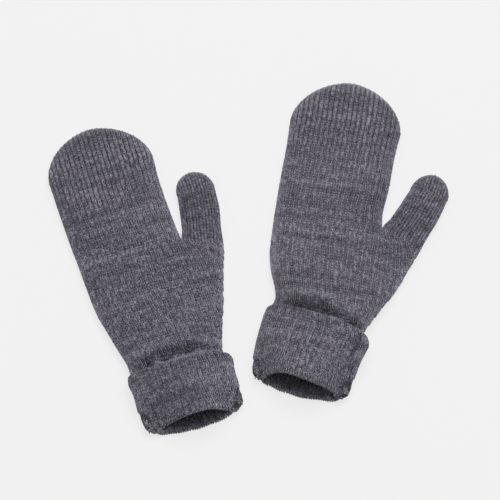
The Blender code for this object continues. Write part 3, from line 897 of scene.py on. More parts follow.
@dataclass(frozen=True)
class StitchShape:
    """One V of yarn, in shares of a stitch's width and height, and its depth in millimetres."""

    sockets: ClassVar[tuple[tuple[str, tuple[str, ...]], ...]] = (
        ("Geometry", ("Geometry",)),
        ("Vector", ("Foot", "Foot Handle", "Head Handle", "Head")),
        ("Float", ("Half Width", "Taper")),
        ("Int", ("Segments", "Sides")),
        ("Material", ("Material",)),
    )
    foot: tuple[float, float, float] = (0.09, -0.62, -0.52)
    foot_handle: tuple[float, float, float] = (0.20, -0.28, -0.22)
    head_handle: tuple[float, float, float] = (0.30, 0.22, -0.22)
    head: tuple[float, float, float] = (0.25, 0.82, -0.60)
    half_width: float = 0.235
    taper: float = 0.34
    segments: int = 3
    sides: int = 4
    depth: float = 2.0

    def tree(self) -> bpy.types.NodeTree:
        """Builds the node tree that lays one V on every point.

        Returns:
            The tree. Its inputs are the points, the V's four control points, half width, taper,
            segments, sides and material.
        """
        tree = bpy.data.node_groups.new("knit_stitches", "GeometryNodeTree")
        for kind, names in self.sockets:
            for name in names:
                tree.interface.new_socket(name, in_out="INPUT", socket_type=f"NodeSocket{kind}")
        tree.interface.new_socket("Geometry", in_out="OUTPUT", socket_type="NodeSocketGeometry")

        def node(kind: str, **inputs: object) -> bpy.types.Node:
            """Adds a node.

            Args:
                kind: the node's type.
                inputs: what its inputs are linked to or set to, by name.

            Returns:
                The node.
            """
            made = tree.nodes.new(kind)
            for name, value in inputs.items():
                socket = made.inputs[name.replace("_", " ")]
                if isinstance(value, bpy.types.NodeSocket):
                    tree.links.new(value, socket)
                else:
                    socket.default_value = value
            return made

        given = tree.nodes.new("NodeGroupInput").outputs
        leg = node(
            "GeometryNodeCurvePrimitiveBezierSegment", Resolution=given["Segments"], Start=given["Foot"],
            Start_Handle=given["Foot Handle"], End_Handle=given["Head Handle"], End=given["Head"],
        )
        place = tree.nodes.new("GeometryNodeSplineParameter")
        centred = maths(tree, "MULTIPLY_ADD", place.outputs["Factor"], 2.0, -1.0)
        square = maths(tree, "MULTIPLY", centred, centred)
        cut = maths(tree, "MULTIPLY", square, given["Taper"])
        radius = maths(tree, "SUBTRACT", 1.0, cut)
        tapered = node("GeometryNodeSetCurveRadius", Curve=leg.outputs["Curve"], Radius=radius)
        ring = node(
            "GeometryNodeCurvePrimitiveCircle", Resolution=given["Sides"], Radius=given["Half Width"]
        )
        tube = node(
            "GeometryNodeCurveToMesh", Curve=tapered.outputs["Curve"], Profile_Curve=ring.outputs["Curve"],
            Fill_Caps=True,
        )
        mirrored = node(
            "GeometryNodeTransform", Geometry=tube.outputs["Mesh"], Scale=(-1.0, 1.0, 1.0)
        )
        turned = node("GeometryNodeFlipFaces", Mesh=mirrored.outputs["Geometry"])
        both = tree.nodes.new("GeometryNodeJoinGeometry")
        tree.links.new(tube.outputs["Mesh"], both.inputs[0])
        tree.links.new(turned.outputs["Mesh"], both.inputs[0])
        turn = node("GeometryNodeInputNamedAttribute", Name="turn")
        turn.data_type = "QUATERNION"
        size = node("GeometryNodeInputNamedAttribute", Name="size")
        size.data_type = "FLOAT_VECTOR"
        laid = node(
            "GeometryNodeInstanceOnPoints", Points=given["Geometry"], Instance=both.outputs[0],
            Rotation=turn.outputs["Attribute"], Scale=size.outputs["Attribute"],
        )
        real = node("GeometryNodeRealizeInstances", Geometry=laid.outputs["Instances"])
        soft = node("GeometryNodeSetShadeSmooth", Geometry=real.outputs["Geometry"])
        dressed = node(
            "GeometryNodeSetMaterial", Geometry=soft.outputs["Geometry"], Material=given["Material"]
        )
        end = tree.nodes.new("NodeGroupOutput")
        tree.links.new(dressed.outputs["Geometry"], end.inputs["Geometry"])
        return tree

    def inputs(self, material: bpy.types.Material) -> dict[str, object]:
        """The tree's inputs by name, for yarn of that material."""
        return {
            "Foot": self.foot, "Foot Handle": self.foot_handle, "Head Handle": self.head_handle,
            "Head": self.head, "Half Width": self.half_width, "Taper": self.taper,
            "Segments": self.segments, "Sides": self.sides, "Material": material,
        }


@dataclass(frozen=True)
class WoolFinish:
    """Heathered wool: dark and light fibres spun together, matt with a soft sheen."""

    name: str
    dark: tuple[float, float, float]
    middle: tuple[float, float, float]
    light: tuple[float, float, float]
    grain_shape: tuple[float, float, float] = (1.0, 0.7, 1.0)
    grains: tuple[tuple[float, float, float], ...] = (      # to a metre, contrast and octaves, finest last
        (430.0, 0.6, 1.0), (1100.0, 1.25, 3.0), (3600.0, 0.35, 2.0),
    )
    stops: tuple[float, float, float] = (0.2, 0.5, 0.8)     # levels of the three colours
    roughness: float = 0.92
    specular: float = 0.25
    sheen: float = 0.7
    sheen_roughness: float = 0.4
    bump: float = 0.35
    bump_depth: float = 0.0003

    def material(self) -> bpy.types.Material:
        """Builds the finish.

        Returns:
            The material. It reads the stitches' own tone and the Object coordinates.
        """
        material = bpy.data.materials.new(self.name)
        material.use_nodes = True
        tree = material.node_tree
        shader = tree.nodes["Principled BSDF"]
        set_inputs(shader, {
            "Roughness": self.roughness, "Specular IOR Level": self.specular, "Sheen Weight": self.sheen,
            "Sheen Roughness": self.sheen_roughness,
        })
        level, finest = self.grain(tree)
        ramp = tree.nodes.new("ShaderNodeValToRGB")
        colours = ramp.color_ramp.elements
        colours.new(self.stops[1])
        for element, stop, colour in zip(colours, self.stops, (self.dark, self.middle, self.light)):
            element.position, element.color = stop, (*colour, 1)
        tree.links.new(level, ramp.inputs["Fac"])
        tree.links.new(ramp.outputs["Color"], shader.inputs["Base Color"])
        bump = tree.nodes.new("ShaderNodeBump")
        set_inputs(bump, {"Strength": self.bump, "Distance": self.bump_depth})
        tree.links.new(finest, bump.inputs["Height"])
        tree.links.new(bump.outputs["Normal"], shader.inputs["Normal"])
        return material

    def grain(self, tree: bpy.types.NodeTree) -> tuple[bpy.types.NodeSocket, bpy.types.NodeSocket]:
        """Adds the fibres' light and dark to the stitches' own tone.

        Args:
            tree: the material's tree.

        Returns:
            The level of light, with 0.5 for the middle colour, and the finest grain alone.
        """
        place = tree.nodes.new("ShaderNodeTexCoord").outputs["Object"]
        tone = tree.nodes.new("ShaderNodeAttribute")
        tone.attribute_name = "tone"
        stretched = tree.nodes.new("ShaderNodeVectorMath")
        stretched.operation = "MULTIPLY"
        stretched.inputs[1].default_value = self.grain_shape
        tree.links.new(place, stretched.inputs[0])
        level = maths(tree, "ADD", tone.outputs["Fac"], 0.5)
        for scale, contrast, octaves in self.grains:
            finest = self.noise(tree, stretched.outputs["Vector"], scale, octaves)
            level = maths(tree, "MULTIPLY_ADD", maths(tree, "SUBTRACT", finest, 0.5), contrast, level)
        return level, finest

    @staticmethod
    def noise(
        tree: bpy.types.NodeTree, place: bpy.types.NodeSocket, scale: float, detail: float
    ) -> bpy.types.NodeSocket:
        """Adds a noise texture over the object's own place.

        Args:
            tree: the material's tree.
            place: the coordinates.
            scale: how fine it is, to a metre.
            detail: how many octaves it has.

        Returns:
            The noise, from 0 to 1.
        """
        made = tree.nodes.new("ShaderNodeTexNoise")
        set_inputs(made, {"Scale": scale, "Detail": detail})
        tree.links.new(place, made.inputs["Vector"])
        return made.outputs["Fac"]


YARN = WoolFinish("grey_wool_yarn", (0.024, 0.022, 0.032), (0.084, 0.077, 0.106), (0.26, 0.245, 0.31))
# The ground's colours are darker than the yarn's, partly as painted shade where the ground shows between the
# stitches.
SHADE_GROUND = WoolFinish("grey_wool_ground", (0.008, 0.007, 0.010), (0.036, 0.033, 0.045), (0.12, 0.11, 0.14))


@dataclass
class Knitter:
    """Turns lattices of stitch places into pieces of yarn."""

    shape: StitchShape
    yarn: bpy.types.Material
    seed: int = 11
    clearance: float = 0.86         # how high over the floor a steep stitch stays, as a share of its rise
    place_jitter: float = 0.10      # millimetres
    turn_jitter: float = 0.07       # radians
    tone_spread: float = 0.045
    link_shade: float = -0.20       # tone of every second stitch of a linked seam
    link_painted_sheen: float = 0.10         # painted sheen: how much lighter all of them are painted, where their fuzz catches the light
    streaks: tuple[tuple[float, float, float], ...] = (     # rows, wales and strength of lighter streaks
        (0.7, 3.0, 0.030), (1.5, 7.0, 0.025), (4.0, 9.0, 0.006),
    )
    tree: bpy.types.NodeTree = field(init=False)
    chance: np.random.Generator = field(init=False)

    def __post_init__(self) -> None:
        """Builds the stitches' node tree and seeds the unevenness."""
        self.tree = self.shape.tree()
        self.chance = np.random.default_rng(self.seed)

    def tones(self, courses: int, wales: int) -> np.ndarray:
        """Light and dark of each stitch, with streaks that run along the rows.

        Args:
            courses: how many rows of stitches there are.
            wales: how many stitches there are to a row.

        Returns:
            One tone for each stitch.
        """
        tones = self.chance.normal(0, self.tone_spread, (courses, wales))
        for rows, across, strength in self.streaks:
            tones += strength * softened(self.chance.normal(0, 1, (courses, wales)), (rows, across))
        return tones

    def places(
        self, lattice: np.ndarray, side: Side, pull: np.ndarray | float = 1.0, shade: np.ndarray | float = 0.0
    ) -> np.ndarray:
        """Where each stitch of a lattice lies and how it is turned.

        Args:
            lattice: stitch places by row and wale, in the mitten's own millimetres, not a number where
                there is none.
            side: the side of the mitten, which sets the way that the yarn faces.
            pull: how wide each stitch is, as a share of its wale, for the lattice or each row of it.
            shade: what is added to each stitch's tone, for the lattice or each row of it.

        Returns:
            One row for each stitch: its place, its steps across and along, its width's share and tone.
        """
        across, along = central_steps(lattice, 1) * side.value, central_steps(lattice, 0)
        known = ~np.isnan(lattice + across + along).any(2)
        tones = self.tones(*known.shape) + shade
        narrow = np.broadcast_to(pull, known.shape)
        points = lattice[known]
        points[:, 2] = np.maximum(points[:, 2], self.clearance * np.abs(along[known, 2]))
        return np.column_stack([points, across[known], along[known], narrow[known], tones[known]])

    def chain(self, line: np.ndarray, facing: np.ndarray, width: float) -> np.ndarray:
        """Stitches in a single file along a line in space.

        Args:
            line: the stitches' places.
            facing: the way that each of them faces.
            width: how wide they are, in millimetres.

        Returns:
            One row for each stitch, as places gives them.
        """
        along = np.gradient(line, axis=0)
        across = np.cross(along, facing)
        across *= width / np.linalg.norm(across, axis=1)[:, None]
        tones = self.chance.normal(self.link_painted_sheen, self.tone_spread, len(line))
        tones[::2] += self.link_shade
        return np.column_stack([line, across, along, np.ones(len(line)), tones])

    def knit(self, name: str, form: Form, stitches: np.ndarray) -> bpy.types.Object:
        """Lays a V of yarn on every stitch's place.

        Args:
            name: the piece's name.
            form: the mitten that the stitches belong to.
            stitches: one row for each stitch, as places and chain give them.

        Returns:
            The piece, as a plain mesh.
        """
        count = len(stitches)
        points, across, along = (stitches[:, part] for part in (PLACE, ACROSS, ALONG))
        facing = np.cross(across, along)
        facing /= np.linalg.norm(facing, axis=1)[:, None]
        width = np.linalg.norm(across, axis=1)
        height = np.linalg.norm(along, axis=1)
        points = points + facing * self.chance.uniform(-1, 0, (count, 1)) * self.place_jitter
        points += across / width[:, None] * self.chance.normal(0, self.place_jitter, (count, 1))
        data = bpy.data.meshes.new(name + "_places")
        data.from_pydata([tuple(point) for point in form.placed(points)], [], [])
        store(data, "turn", "QUATERNION", self.turns(form, along, facing))
        sizes = np.column_stack([width * stitches[:, SHARE], height, np.full(count, self.shape.depth)]) * MM
        store(data, "size", "FLOAT_VECTOR", sizes)
        store(data, "tone", "FLOAT", stitches[:, TONE])
        return self.realise(name, data)

    def turns(self, form: Form, along: np.ndarray, facing: np.ndarray) -> np.ndarray:
        """How each V is turned from its own axes into the row frame.

        Args:
            form: the mitten that the stitches belong to.
            along: each stitch's step along its wale.
            facing: the way that it faces.

        Returns:
            One quaternion for each stitch.
        """
        steady = Matrix.Rotation(math.radians(form.pattern.turn_deg), 3, "Z")
        turns = []
        for step, normal, jitter in zip(along, facing, self.chance.normal(0, self.turn_jitter, len(along))):
            forward, up = steady @ Vector(step), steady @ Vector(normal)
            right = forward.cross(up).normalized()
            basis = Matrix((right, up.cross(right), up)).transposed()
            turns.append((basis @ Matrix.Rotation(jitter, 3, "Z")).to_quaternion())
        return np.array(turns)

    def realise(self, name: str, data: bpy.types.Mesh) -> bpy.types.Object:
        """Runs the stitches' tree on a mesh of places and keeps the result as a plain mesh.

        Args:
            name: the piece's name.
            data: the places, with each stitch's turn, size and tone.

        Returns:
            The piece.
        """
        holder = add_object(name + "_places", data)
        modifier = holder.modifiers.new("Knit", "NODES")
        modifier.node_group = self.tree
        wanted = self.shape.inputs(self.yarn)
        for item in self.tree.interface.items_tree:
            if item.in_out == "INPUT" and item.name in wanted:
                modifier[item.identifier] = wanted[item.name]
        mesh = baked(holder)
        mesh.name = name
        for spare in ("turn", "size"):
            if spare in mesh.attributes:
                mesh.attributes.remove(mesh.attributes[spare])
        bpy.data.objects.remove(holder)
        return add_object(name, mesh)


@dataclass
class Shell:
    """The cloth under the stitches of one piece, built row by row."""

    side: Side
    form: Form
    mesh: bmesh.types.BMesh = field(default_factory=bmesh.new)

    def face(self, *corners: bmesh.types.BMVert) -> None:
        """Adds a face, whose corners are named clockwise as seen from inside an upper side."""
        self.mesh.faces.new(corners if self.side is Side.UPPER else reversed(corners))

    def rows(
        self, rows: list[np.ndarray], start: list[bmesh.types.BMVert] | None = None
    ) -> list[list[bmesh.types.BMVert]]:
        """Adds rows of points and the faces between them.

        Args:
            rows: the rows' points, in the mitten's own millimetres.
            start: an existing row that the first new one joins on to.

        Returns:
            The rows of corners, with the existing one first.
        """
        corners = [start] if start else []
        corners += [[self.mesh.verts.new(point) for point in self.form.placed(row)] for row in rows]
        for lower, upper in zip(corners, corners[1:]):
            for n in range(len(lower) - 1):
                self.face(lower[n], lower[n + 1], upper[n + 1], upper[n])
        return corners

    def rounded_end(self, row: list[bmesh.types.BMVert], spokes: list[np.ndarray]) -> None:
        """Closes the surface beyond its last row.

        Args:
            row: the corners of that row.
            spokes: lines of points from the end's arc to the row's middle.
        """
        half = len(row) // 2
        lines = [[self.mesh.verts.new(point) for point in self.form.placed(spoke)] for spoke in spokes]
        lines = [row[:half], *lines, row[: half : -1]]
        for left, right in zip(lines, lines[1:]):
            for n in range(half - 1):
                self.face(left[n], left[n + 1], right[n + 1], right[n])
            self.face(left[-1], row[half], right[-1])

    def finish(
        self, name: str, material: bpy.types.Material, tones: np.ndarray | None = None,
        fullness: np.ndarray | None = None,
    ) -> tuple[bpy.types.Object, float]:
        """Sinks the surface under the stitches and gives it its thickness.

        Args:
            name: the piece's name.
            material: its material.
            tones: the tone of each corner of the surface, 0 where none is given.
            fullness: the share of its depth and thickness that the cloth has at each corner, or all of it.

        Returns:
            The piece and the area of its face in square metres.
        """
        self.mesh.normal_update()
        area = sum(face.calc_area() for face in self.mesh.faces)
        if fullness is None:
            fullness = np.ones(len(self.mesh.verts))
        moves = [
            vertex.normal * CLOTH.yarn_depth * MM * full for vertex, full in zip(self.mesh.verts, fullness)
        ]
        for vertex, move in zip(self.mesh.verts, moves):
            vertex.co -= move
        data = bpy.data.meshes.new(name)
        self.mesh.to_mesh(data)
        self.mesh.free()
        if tones is not None:
            store(data, "tone", "FLOAT", tones)
        data.shade_smooth()
        data.materials.append(material)
        piece = add_object(name, data)
        group = piece.vertex_groups.new(name="fullness")
        for n, full in enumerate(fullness):
            group.add([n], float(full), "REPLACE")
        wall = piece.modifiers.new("Wall", "SOLIDIFY")
        wall.vertex_group = group.name
        wall.thickness = CLOTH.shell * MM
        wall.offset = -1
        wall.use_quality_normals = True
        solid = baked(piece)
        piece.modifiers.clear()
        piece.vertex_groups.clear()
        piece.data = solid
        return piece, area


@dataclass
class Piece(ABC):
    """One side of one part of a mitten: its shell of cloth and its stitches."""

    part: ClassVar[str]             # what the part's name adds to the mitten's
    form: Form
    side: Side
    knitter: Knitter
    ground: bpy.types.Material
    columns: int = 36
    wales: int = 24
    samples: int = 60               # steps across a row where its wales are measured out

    @property
    def name(self) -> str:
        """The name of the CAD node that the piece stands for."""
        pattern = self.form.pattern
        return f"{pattern.name}_{self.part}{pattern.upper if self.side is Side.UPPER else pattern.lower}"

    @abstractmethod
    def cloth(self) -> tuple[bpy.types.Object, float]:
        """Builds the shell and gives it with the area of its face in square metres."""

    @abstractmethod
    def stitches(self) -> np.ndarray:
        """One row for each stitch, as the knitter takes them."""

    @abstractmethod
    def cut(self) -> tuple[float, float]:
        """Flat width and length of the piece, in millimetres."""

    def build(self, rests_on: list[str]) -> bpy.types.Object:
        """Builds the shell and the stitches.

        Args:
            rests_on: the names of what the piece lies on.

        Returns:
            The shell.
        """
        cloth, area = self.cloth()
        yarn = self.knitter.knit(f"{self.name}_stitches", self.form, self.stitches())
        self.declare(self.name, cloth, area, yarn, self.cut(), rests_on)
        return cloth

    def across(self, row: np.ndarray, columns: int, thumb_columns: int = 0) -> np.ndarray:
        """A row's points on the face of the cloth, in space."""
        return self.form.lift(row, row_points(row, columns, thumb_columns), self.side)

    def wales_on(self, line: np.ndarray) -> np.ndarray:
        """Where the piece's wales cross a row of points in space."""
        return along_line(line, wale_middles(self.wales, length_of(line)))

    def declare(
        self, node: str, shell: bpy.types.Object, area: float, stitches: bpy.types.Object,
        cut: tuple[float, float], rests_on: list[str],
    ) -> None:
        """Attaches the piece to the root body, hides the CAD node that it replaces and logs its cut.

        Args:
            node: the CAD node that the piece stands for.
            shell: the cloth.
            area: the cloth's flat area in square metres.
            stitches: the yarn on it.
            cut: the flat width and length in millimetres.
            rests_on: the names of what it lies on; not used.
        """
        for piece in (shell, stitches):
            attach(piece, "root")
        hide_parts(node)
        LOG.info(
            "%s: %d faces of cloth and %d of yarn, cut %.0f x %.0f mm, %.1f square cm",
            node, len(shell.data.polygons), len(stitches.data.polygons), *cut, area * 1e4,
        )


@dataclass
class TippedSide(Piece):
    """A side of the hand or the thumb, which ends in a rounded tip."""

    sectors: int = 30               # steps round the tip
    tip_turn: float = 8.0           # what the tip's turn down to its seam adds to the cut's length
    tip_samples: int = 80           # points on each wale's line beyond the ring
    tip_room: float = 1.6           # how many rows that line has room for, in heights of the tip
    wale_inset: float = 1.1         # how far inside the tip's edge the middles of its wales end
    chain_start: float = 0.10       # radians from the ring's plane to the first stitch of the linked seam
    chain_samples: int = 400
    chain_tilt: float = 0.75        # radians that its stitches face up from the level
    chain_lift: float = 1.2
    chain_inset: float = 0.5
    chain_width: float = 3.4

    @property
    @abstractmethod
    def end(self) -> RoundedEnd:
        """The rounded tip."""

    def spokes(self) -> list[np.ndarray]:
        """Lines from the tip's arc towards its ring's middle.

        Returns:
            The lines' points in the mitten's own millimetres, left to right.
        """
        end, reaches = self.end, (1 - 2 * shares(self.columns)[: self.columns // 2])[:, None]
        return [
            self.form.lift(end.ring, end.middle + (point - end.middle) * reaches, self.side)
            for point in end.arc(np.pi * np.arange(1, self.sectors) / self.sectors)
        ]

    def tip_courses(self, wales: np.ndarray) -> np.ndarray:
        """Rows of stitches beyond the ring, each wale running straight on until it meets the edge.

        Args:
            wales: where the wales cross the ring, in space.

        Returns:
            The rows of stitches, not a number where a wale has ended.
        """
        end = self.end
        steps = np.linspace(0, 1, self.tip_samples)[:, None]
        room = math.ceil(self.tip_room * end.height / CLOTH.course)
        lines = []
        for wale in wales:
            plan = wale[:2] + end.onward * (end.reach(wale[:2], self.wale_inset) * steps)
            space = self.form.lift(end.ring, plan, self.side)
            length = length_of(space)
            count = round(length / CLOTH.course)
            line = np.full((room, 3), np.nan)
            if count:
                line[:count] = along_line(space, length * np.arange(1, count + 1) / count - INSIDE)
            lines.append(line)
        return np.stack(lines, axis=1)

    def linking(self) -> np.ndarray:
        """The chain of stitches that closes the tip along its seam.

        Returns:
            One row for each stitch, as Knitter.places gives them.
        """
        end = self.end
        fine = end.arc(np.linspace(self.chain_start, math.pi - self.chain_start, self.chain_samples))
        reach = lengths_along(fine)
        stops = np.linspace(0, reach[-1], round(reach[-1] / CLOTH.course))
        plan = np.column_stack([np.interp(stops, reach, fine[:, axis]) for axis in range(2)])
        run = np.gradient(plan, axis=0)
        outward = np.column_stack([-run[:, 1], run[:, 0]])
        signs = np.sign((outward * (plan - end.middle)).sum(1))[:, None]
        outward *= signs / np.linalg.norm(outward, axis=1)[:, None]
        rise = math.sin(self.chain_tilt)
        facing = np.column_stack([outward * math.cos(self.chain_tilt), np.full(len(plan), rise)])
        height = end.ring[SEAM] + CLOTH.seam_gap / 2 + self.chain_lift
        line = np.column_stack([plan - outward * self.chain_inset, np.full(len(plan), height)])
        return self.knitter.chain(line, facing, self.chain_width)

    def linked(self, lattice: np.ndarray, pull: np.ndarray | float) -> np.ndarray:
        """The stitches of a lattice, with the chain that closes the tip where the side is the upper one.

        Args:
            lattice: stitch places by row and wale.
            pull: how wide each stitch is, as a share of its wale.

        Returns:
            One row for each stitch, as Knitter.places gives them.
        """
        stitches = self.knitter.places(lattice, self.side, pull, self.form.painted_light_tone(lattice))
        if self.side is Side.UPPER:
            stitches = np.vstack([stitches, self.linking()])
        return stitches


@dataclass
class HandSide(TippedSide):
    """The back or the palm of the hand, from inside the cuff to the finger tip."""

    part: ClassVar[str] = ""
    samples: int = 100
    thumb_columns: int = 16
    thumb_samples: int = 40         # samples across the thumb's base
    cut_samples: tuple[int, int] = (60, 30)
    gusset_wales: int = 10
    tucked: float = 9.0             # how far the stitches go on under the cuff
    pulled_courses: int = 34        # rows near the tip whose wales stand apart
    eased_courses: int = 14         # rows over which they come to that
    slack: float = 1.02
    taut: float = 0.81

    @property
    def end(self) -> RoundedEnd:
        """The finger tip."""
        return self.form.hand_end

    def cloth(self) -> tuple[bpy.types.Object, float]:
        """Builds the shell, the thumb's base included.

        Returns:
            The shell and the area of its face in square metres.
        """
        shell = Shell(self.side, self.form)
        trunk = shell.rows([
            self.across(row, self.columns, self.thumb_columns) for row in self.form.trunk[::2]
        ])
        hand = shell.rows(
            [self.across(row, self.columns) for row in self.form.hand[2::2]],
            start=trunk[-1][: self.columns + 1],
        )
        shell.rounded_end(hand[-1], self.spokes())
        return shell.finish(f"{self.name}_cloth", self.ground)

    def stitches(self) -> np.ndarray:
        """Lays the stitches, narrower towards the finger tip.

        Returns:
            One row for each stitch, as the knitter takes them.
        """
        lattice = self.lattice()
        far = len(lattice) - self.pulled_courses
        pull = np.interp(np.arange(len(lattice)), [far - self.eased_courses, far], [self.slack, self.taut])
        return self.linked(lattice, pull[:, None])

    def lattice(self) -> np.ndarray:
        """Places of the stitches by row and wale.

        Returns:
            The hand's wales and then the gusset's, not a number where there is no stitch.
        """
        form = self.form
        start = form.cuff[-1][LEFT_Y] - self.tucked
        guide = np.array(form.pattern.guide)
        rows = []
        for row in form.trunk[form.trunk[:, LEFT_Y] > start]:
            space = self.across(row, self.samples, self.thumb_samples)
            off = space[:, 0] - np.interp(space[:, 1], guide[:, 1], guide[:, 0])
            own = np.interp(0, off, lengths_along(space))
            gusset = own + (np.arange(self.gusset_wales) + 0.5) * CLOTH.hand_wale
            rows.append(along_line(space, np.concatenate([wale_middles(self.wales, own), gusset])))
        missing = np.full((self.gusset_wales, 3), np.nan)
        for row in form.hand[1:]:
            rows.append(np.vstack([self.wales_on(self.across(row, self.samples)), missing]))
        courses = in_courses(rows)
        tip = self.tip_courses(courses[-1, : self.wales])
        padding = np.full((len(tip), self.gusset_wales, 3), np.nan)
        return np.vstack([courses, np.concatenate([tip, padding], axis=1)])

    def cut(self) -> tuple[float, float]:
        """Measures the side, the thumb's base included.

        Returns:
            Its flat width and length in millimetres.
        """
        form = self.form
        length = form.hand[-1][LEFT_Y] - form.trunk[0][LEFT_Y] + form.pattern.tip[0] + self.tip_turn
        return length_of(self.across(form.trunk[-1], *self.cut_samples)), float(length)


@dataclass
class ThumbSide(TippedSide):
    """One side of the thumb, from its seam with the hand to its tip."""

    part: ClassVar[str] = "thumb_"
    columns: int = 20
    wales: int = 15
    sectors: int = 20
    tip_turn: float = 6.0
    taut: float = 0.70

    @property
    def end(self) -> RoundedEnd:
        """The thumb's tip."""
        return self.form.thumb_end

    def cloth(self) -> tuple[bpy.types.Object, float]:
        """Builds the shell.

        Returns:
            The shell and the area of its face in square metres.
        """
        shell = Shell(self.side, self.form)
        corners = shell.rows([self.across(row, self.columns) for row in self.form.thumb])
        shell.rounded_end(corners[-1], self.spokes())
        return shell.finish(f"{self.name}_cloth", self.ground)

    def stitches(self) -> np.ndarray:
        """One row for each stitch, as the knitter takes them."""
        courses = in_courses([self.wales_on(self.across(row, self.samples)) for row in self.form.thumb])
        return self.linked(np.vstack([courses, self.tip_courses(courses[-1])]), self.taut)

    def cut(self) -> tuple[float, float]:
        """Flat width and length of the piece, in millimetres."""
        width = max(length_of(self.across(row, self.columns)) for row in self.form.thumb)
        return width, length_of(self.form.thumb[:, :2]) + self.form.pattern.thumb_tip[0] + self.tip_turn


@dataclass
class CuffSide(Piece):
    """One side of the cuff: the lining of the wrist, the fold at the mouth and the outer layer."""

    part: ClassVar[str] = "cuff_"
    columns: int = 32
    wales: int = 26
    samples: int = 80
    fold_steps: int = 8
    seen_inside: float = 24.0       # how far in the stitches go behind the fold
    ribbed: float = 0.66            # how wide the lining's stitches are, as a share of their wale
    ribbed_from: float = 3.0        # how far in they are that narrow
    shaded: float = -0.22           # painted shade: tone of the lining deep in the cuff, where it lies in shade
    shaded_from: tuple[float, float] = (5.0, 13.0)
    pit_painted_shade: float = -0.10              # painted shade: what is added to the tone of the cloth between the lining's ribs, deep in the cuff
    rib_shade: float = -0.07        # painted shade of the ribs: tone of every second wale near the outer layer's free edge
    rib_run: tuple[float, float] = (12.0, 26.0)     # how far from that edge this fades out
    rim_steps: int = 3              # rows of stitches that roll over the outer layer's free edge
    rim_radius: float = 1.4
    rim_rise: float = 1.3           # how far that edge stands up
    rim_run: float = 3.6            # how wide its roll is
    rim_stretch: float = 1.2        # how much further that roll's stitches reach out than down
    pinched: tuple[float, float] = (0.12, 0.15)     # the fold's radius at the corners, lower and upper
    pinch_run: float = 13.0         # how far from a corner the fold is full
    tucked: float = 1.9             # how far the stitches at a corner's tip are tucked in
    tip_painted_light: float = 0.10          # painted light: tone added to those stitches, which face the floor and would lie in shade
    tip_close: float = 0.7          # how far they are moved towards the other side
    tuck_run: float = 3.0           # how far from the rim this fades out
    thin_run: float = 6.0           # how far from the rim at a corner the cloth is thin

    def cloth(self) -> tuple[bpy.types.Object, float]:
        """Builds the shell, which is thin where it folds in on itself.

        Returns:
            The shell and the area of its face in square metres.
        """
        shell = Shell(self.side, self.form)
        rows = self.surface(self.columns)
        shell.rows(rows)
        inside = len(self.form.lining) - np.arange(len(rows))
        # Deep in the cuff the lining's cloth is painted darker, as shade.
        tones = self.painted_shade_inside(inside * self.form.row_step) + self.pit_painted_shade * (inside > 0)
        thin = self.cornered(np.array(rows), self.rim_of(rows), self.thin_run)
        return shell.finish(
            f"{self.name}_cloth", self.ground, np.repeat(tones, self.columns + 1), 1 - thin.ravel()
        )

    def stitches(self) -> np.ndarray:
        """Lays the stitches on the part of the strip that shows.

        Returns:
            One row for each stitch, as the knitter takes them.
        """
        fine = self.surface(self.samples)
        seen = max(0, len(self.form.lining) - int(self.seen_inside / self.form.row_step))
        lattice = in_courses([self.wales_on(space) for space in fine[seen:]])
        tips = self.cornered(lattice, self.rim_of(fine), self.tuck_run)
        lattice[:, :, 0] -= np.sign(lattice[:, :, 0]) * self.tucked * tips
        lattice[:, :, 2] -= self.side.value * self.tip_close * tips
        lattice = np.vstack([lattice, self.rim(lattice)])
        inside = (self.seen_inside - CLOTH.course * np.arange(len(lattice)))[:, None]
        pull = np.interp(inside, [0, self.ribbed_from], [1.0, self.ribbed])
        outside = inside - inside[-1]
        ribs = np.interp(outside, self.rib_run, [self.rib_shade, 0.0]) * (np.arange(self.wales) % 2)
        shade = self.painted_shade_inside(inside) + ribs + self.form.painted_light_tone(lattice, cuff=True) * (inside < 0)
        shade[:len(tips)] += self.tip_painted_light * tips
        return self.knitter.places(lattice, self.side, pull, shade)

    def cut(self) -> tuple[float, float]:
        """Measures the strip over its fold.

        Returns:
            Its flat width and length in millimetres.
        """
        rows = self.surface(self.samples)
        length = length_of(np.array([row[len(row) // 2] for row in rows]))
        return max(length_of(row) for row in rows), length

    def painted_shade_inside(self, inside: np.ndarray) -> np.ndarray:
        """The lining's painted shade at distances in from the fold."""
        return np.interp(inside, self.shaded_from, [0.0, self.shaded])

    def surface(self, columns: int) -> list[np.ndarray]:
        """Rows of the whole strip, from the lining's join to the outer layer's free edge.

        Args:
            columns: steps across each row.

        Returns:
            The rows' points in the mitten's own millimetres.
        """
        form, wall = self.form, CLOTH.wall
        lining = []
        for row in form.lining[::-1]:
            inner = inset(row, wall)
            lining.append(form.lift(inner, row_points(inner, columns), self.side, depth=wall))
        outer = [form.lift(row, row_points(row, columns), self.side, cuff=True) for row in form.cuff]
        if self.side is Side.UPPER:
            for row, space in zip(form.cuff, outer):
                away = (form.cuff[-1][[LEFT_Y, RIGHT_Y]] - row[[LEFT_Y, RIGHT_Y]]).mean()
                space[:, 2] += self.rim_rise * math.exp(-((away / self.rim_run) ** 2))
        move = self.lip(outer[0]) - outer[0]
        self.shape_mouth(outer, move, 0.0)
        self.shape_mouth(lining[::-1], move, CLOTH.inner_start)
        return lining + self.fold(outer[0], outer[1]) + outer

    def lip(self, rim: np.ndarray) -> np.ndarray:
        """The rim of the mouth as it really lies: a lens that is pinched at its two corners.

        Args:
            rim: the outer layer's first row in the frame's plain shape.

        Returns:
            The same row's points on the lens.
        """
        pattern = self.form.pattern
        if self.side is Side.UPPER:
            return np.column_stack([rim[:, 0], through(np.array(pattern.upper_lip), rim[:, 0])])
        x = rim[:, 0]
        rise = quarter_round(np.minimum(x - x[0], x[-1] - x), CLOTH.floor_round * CLOTH.lip_seam)
        height = (CLOTH.lip_seam - CLOTH.seam_gap / 2) * (1 - rise)
        return np.column_stack([x, through(np.array(pattern.lower_lip), x), height])

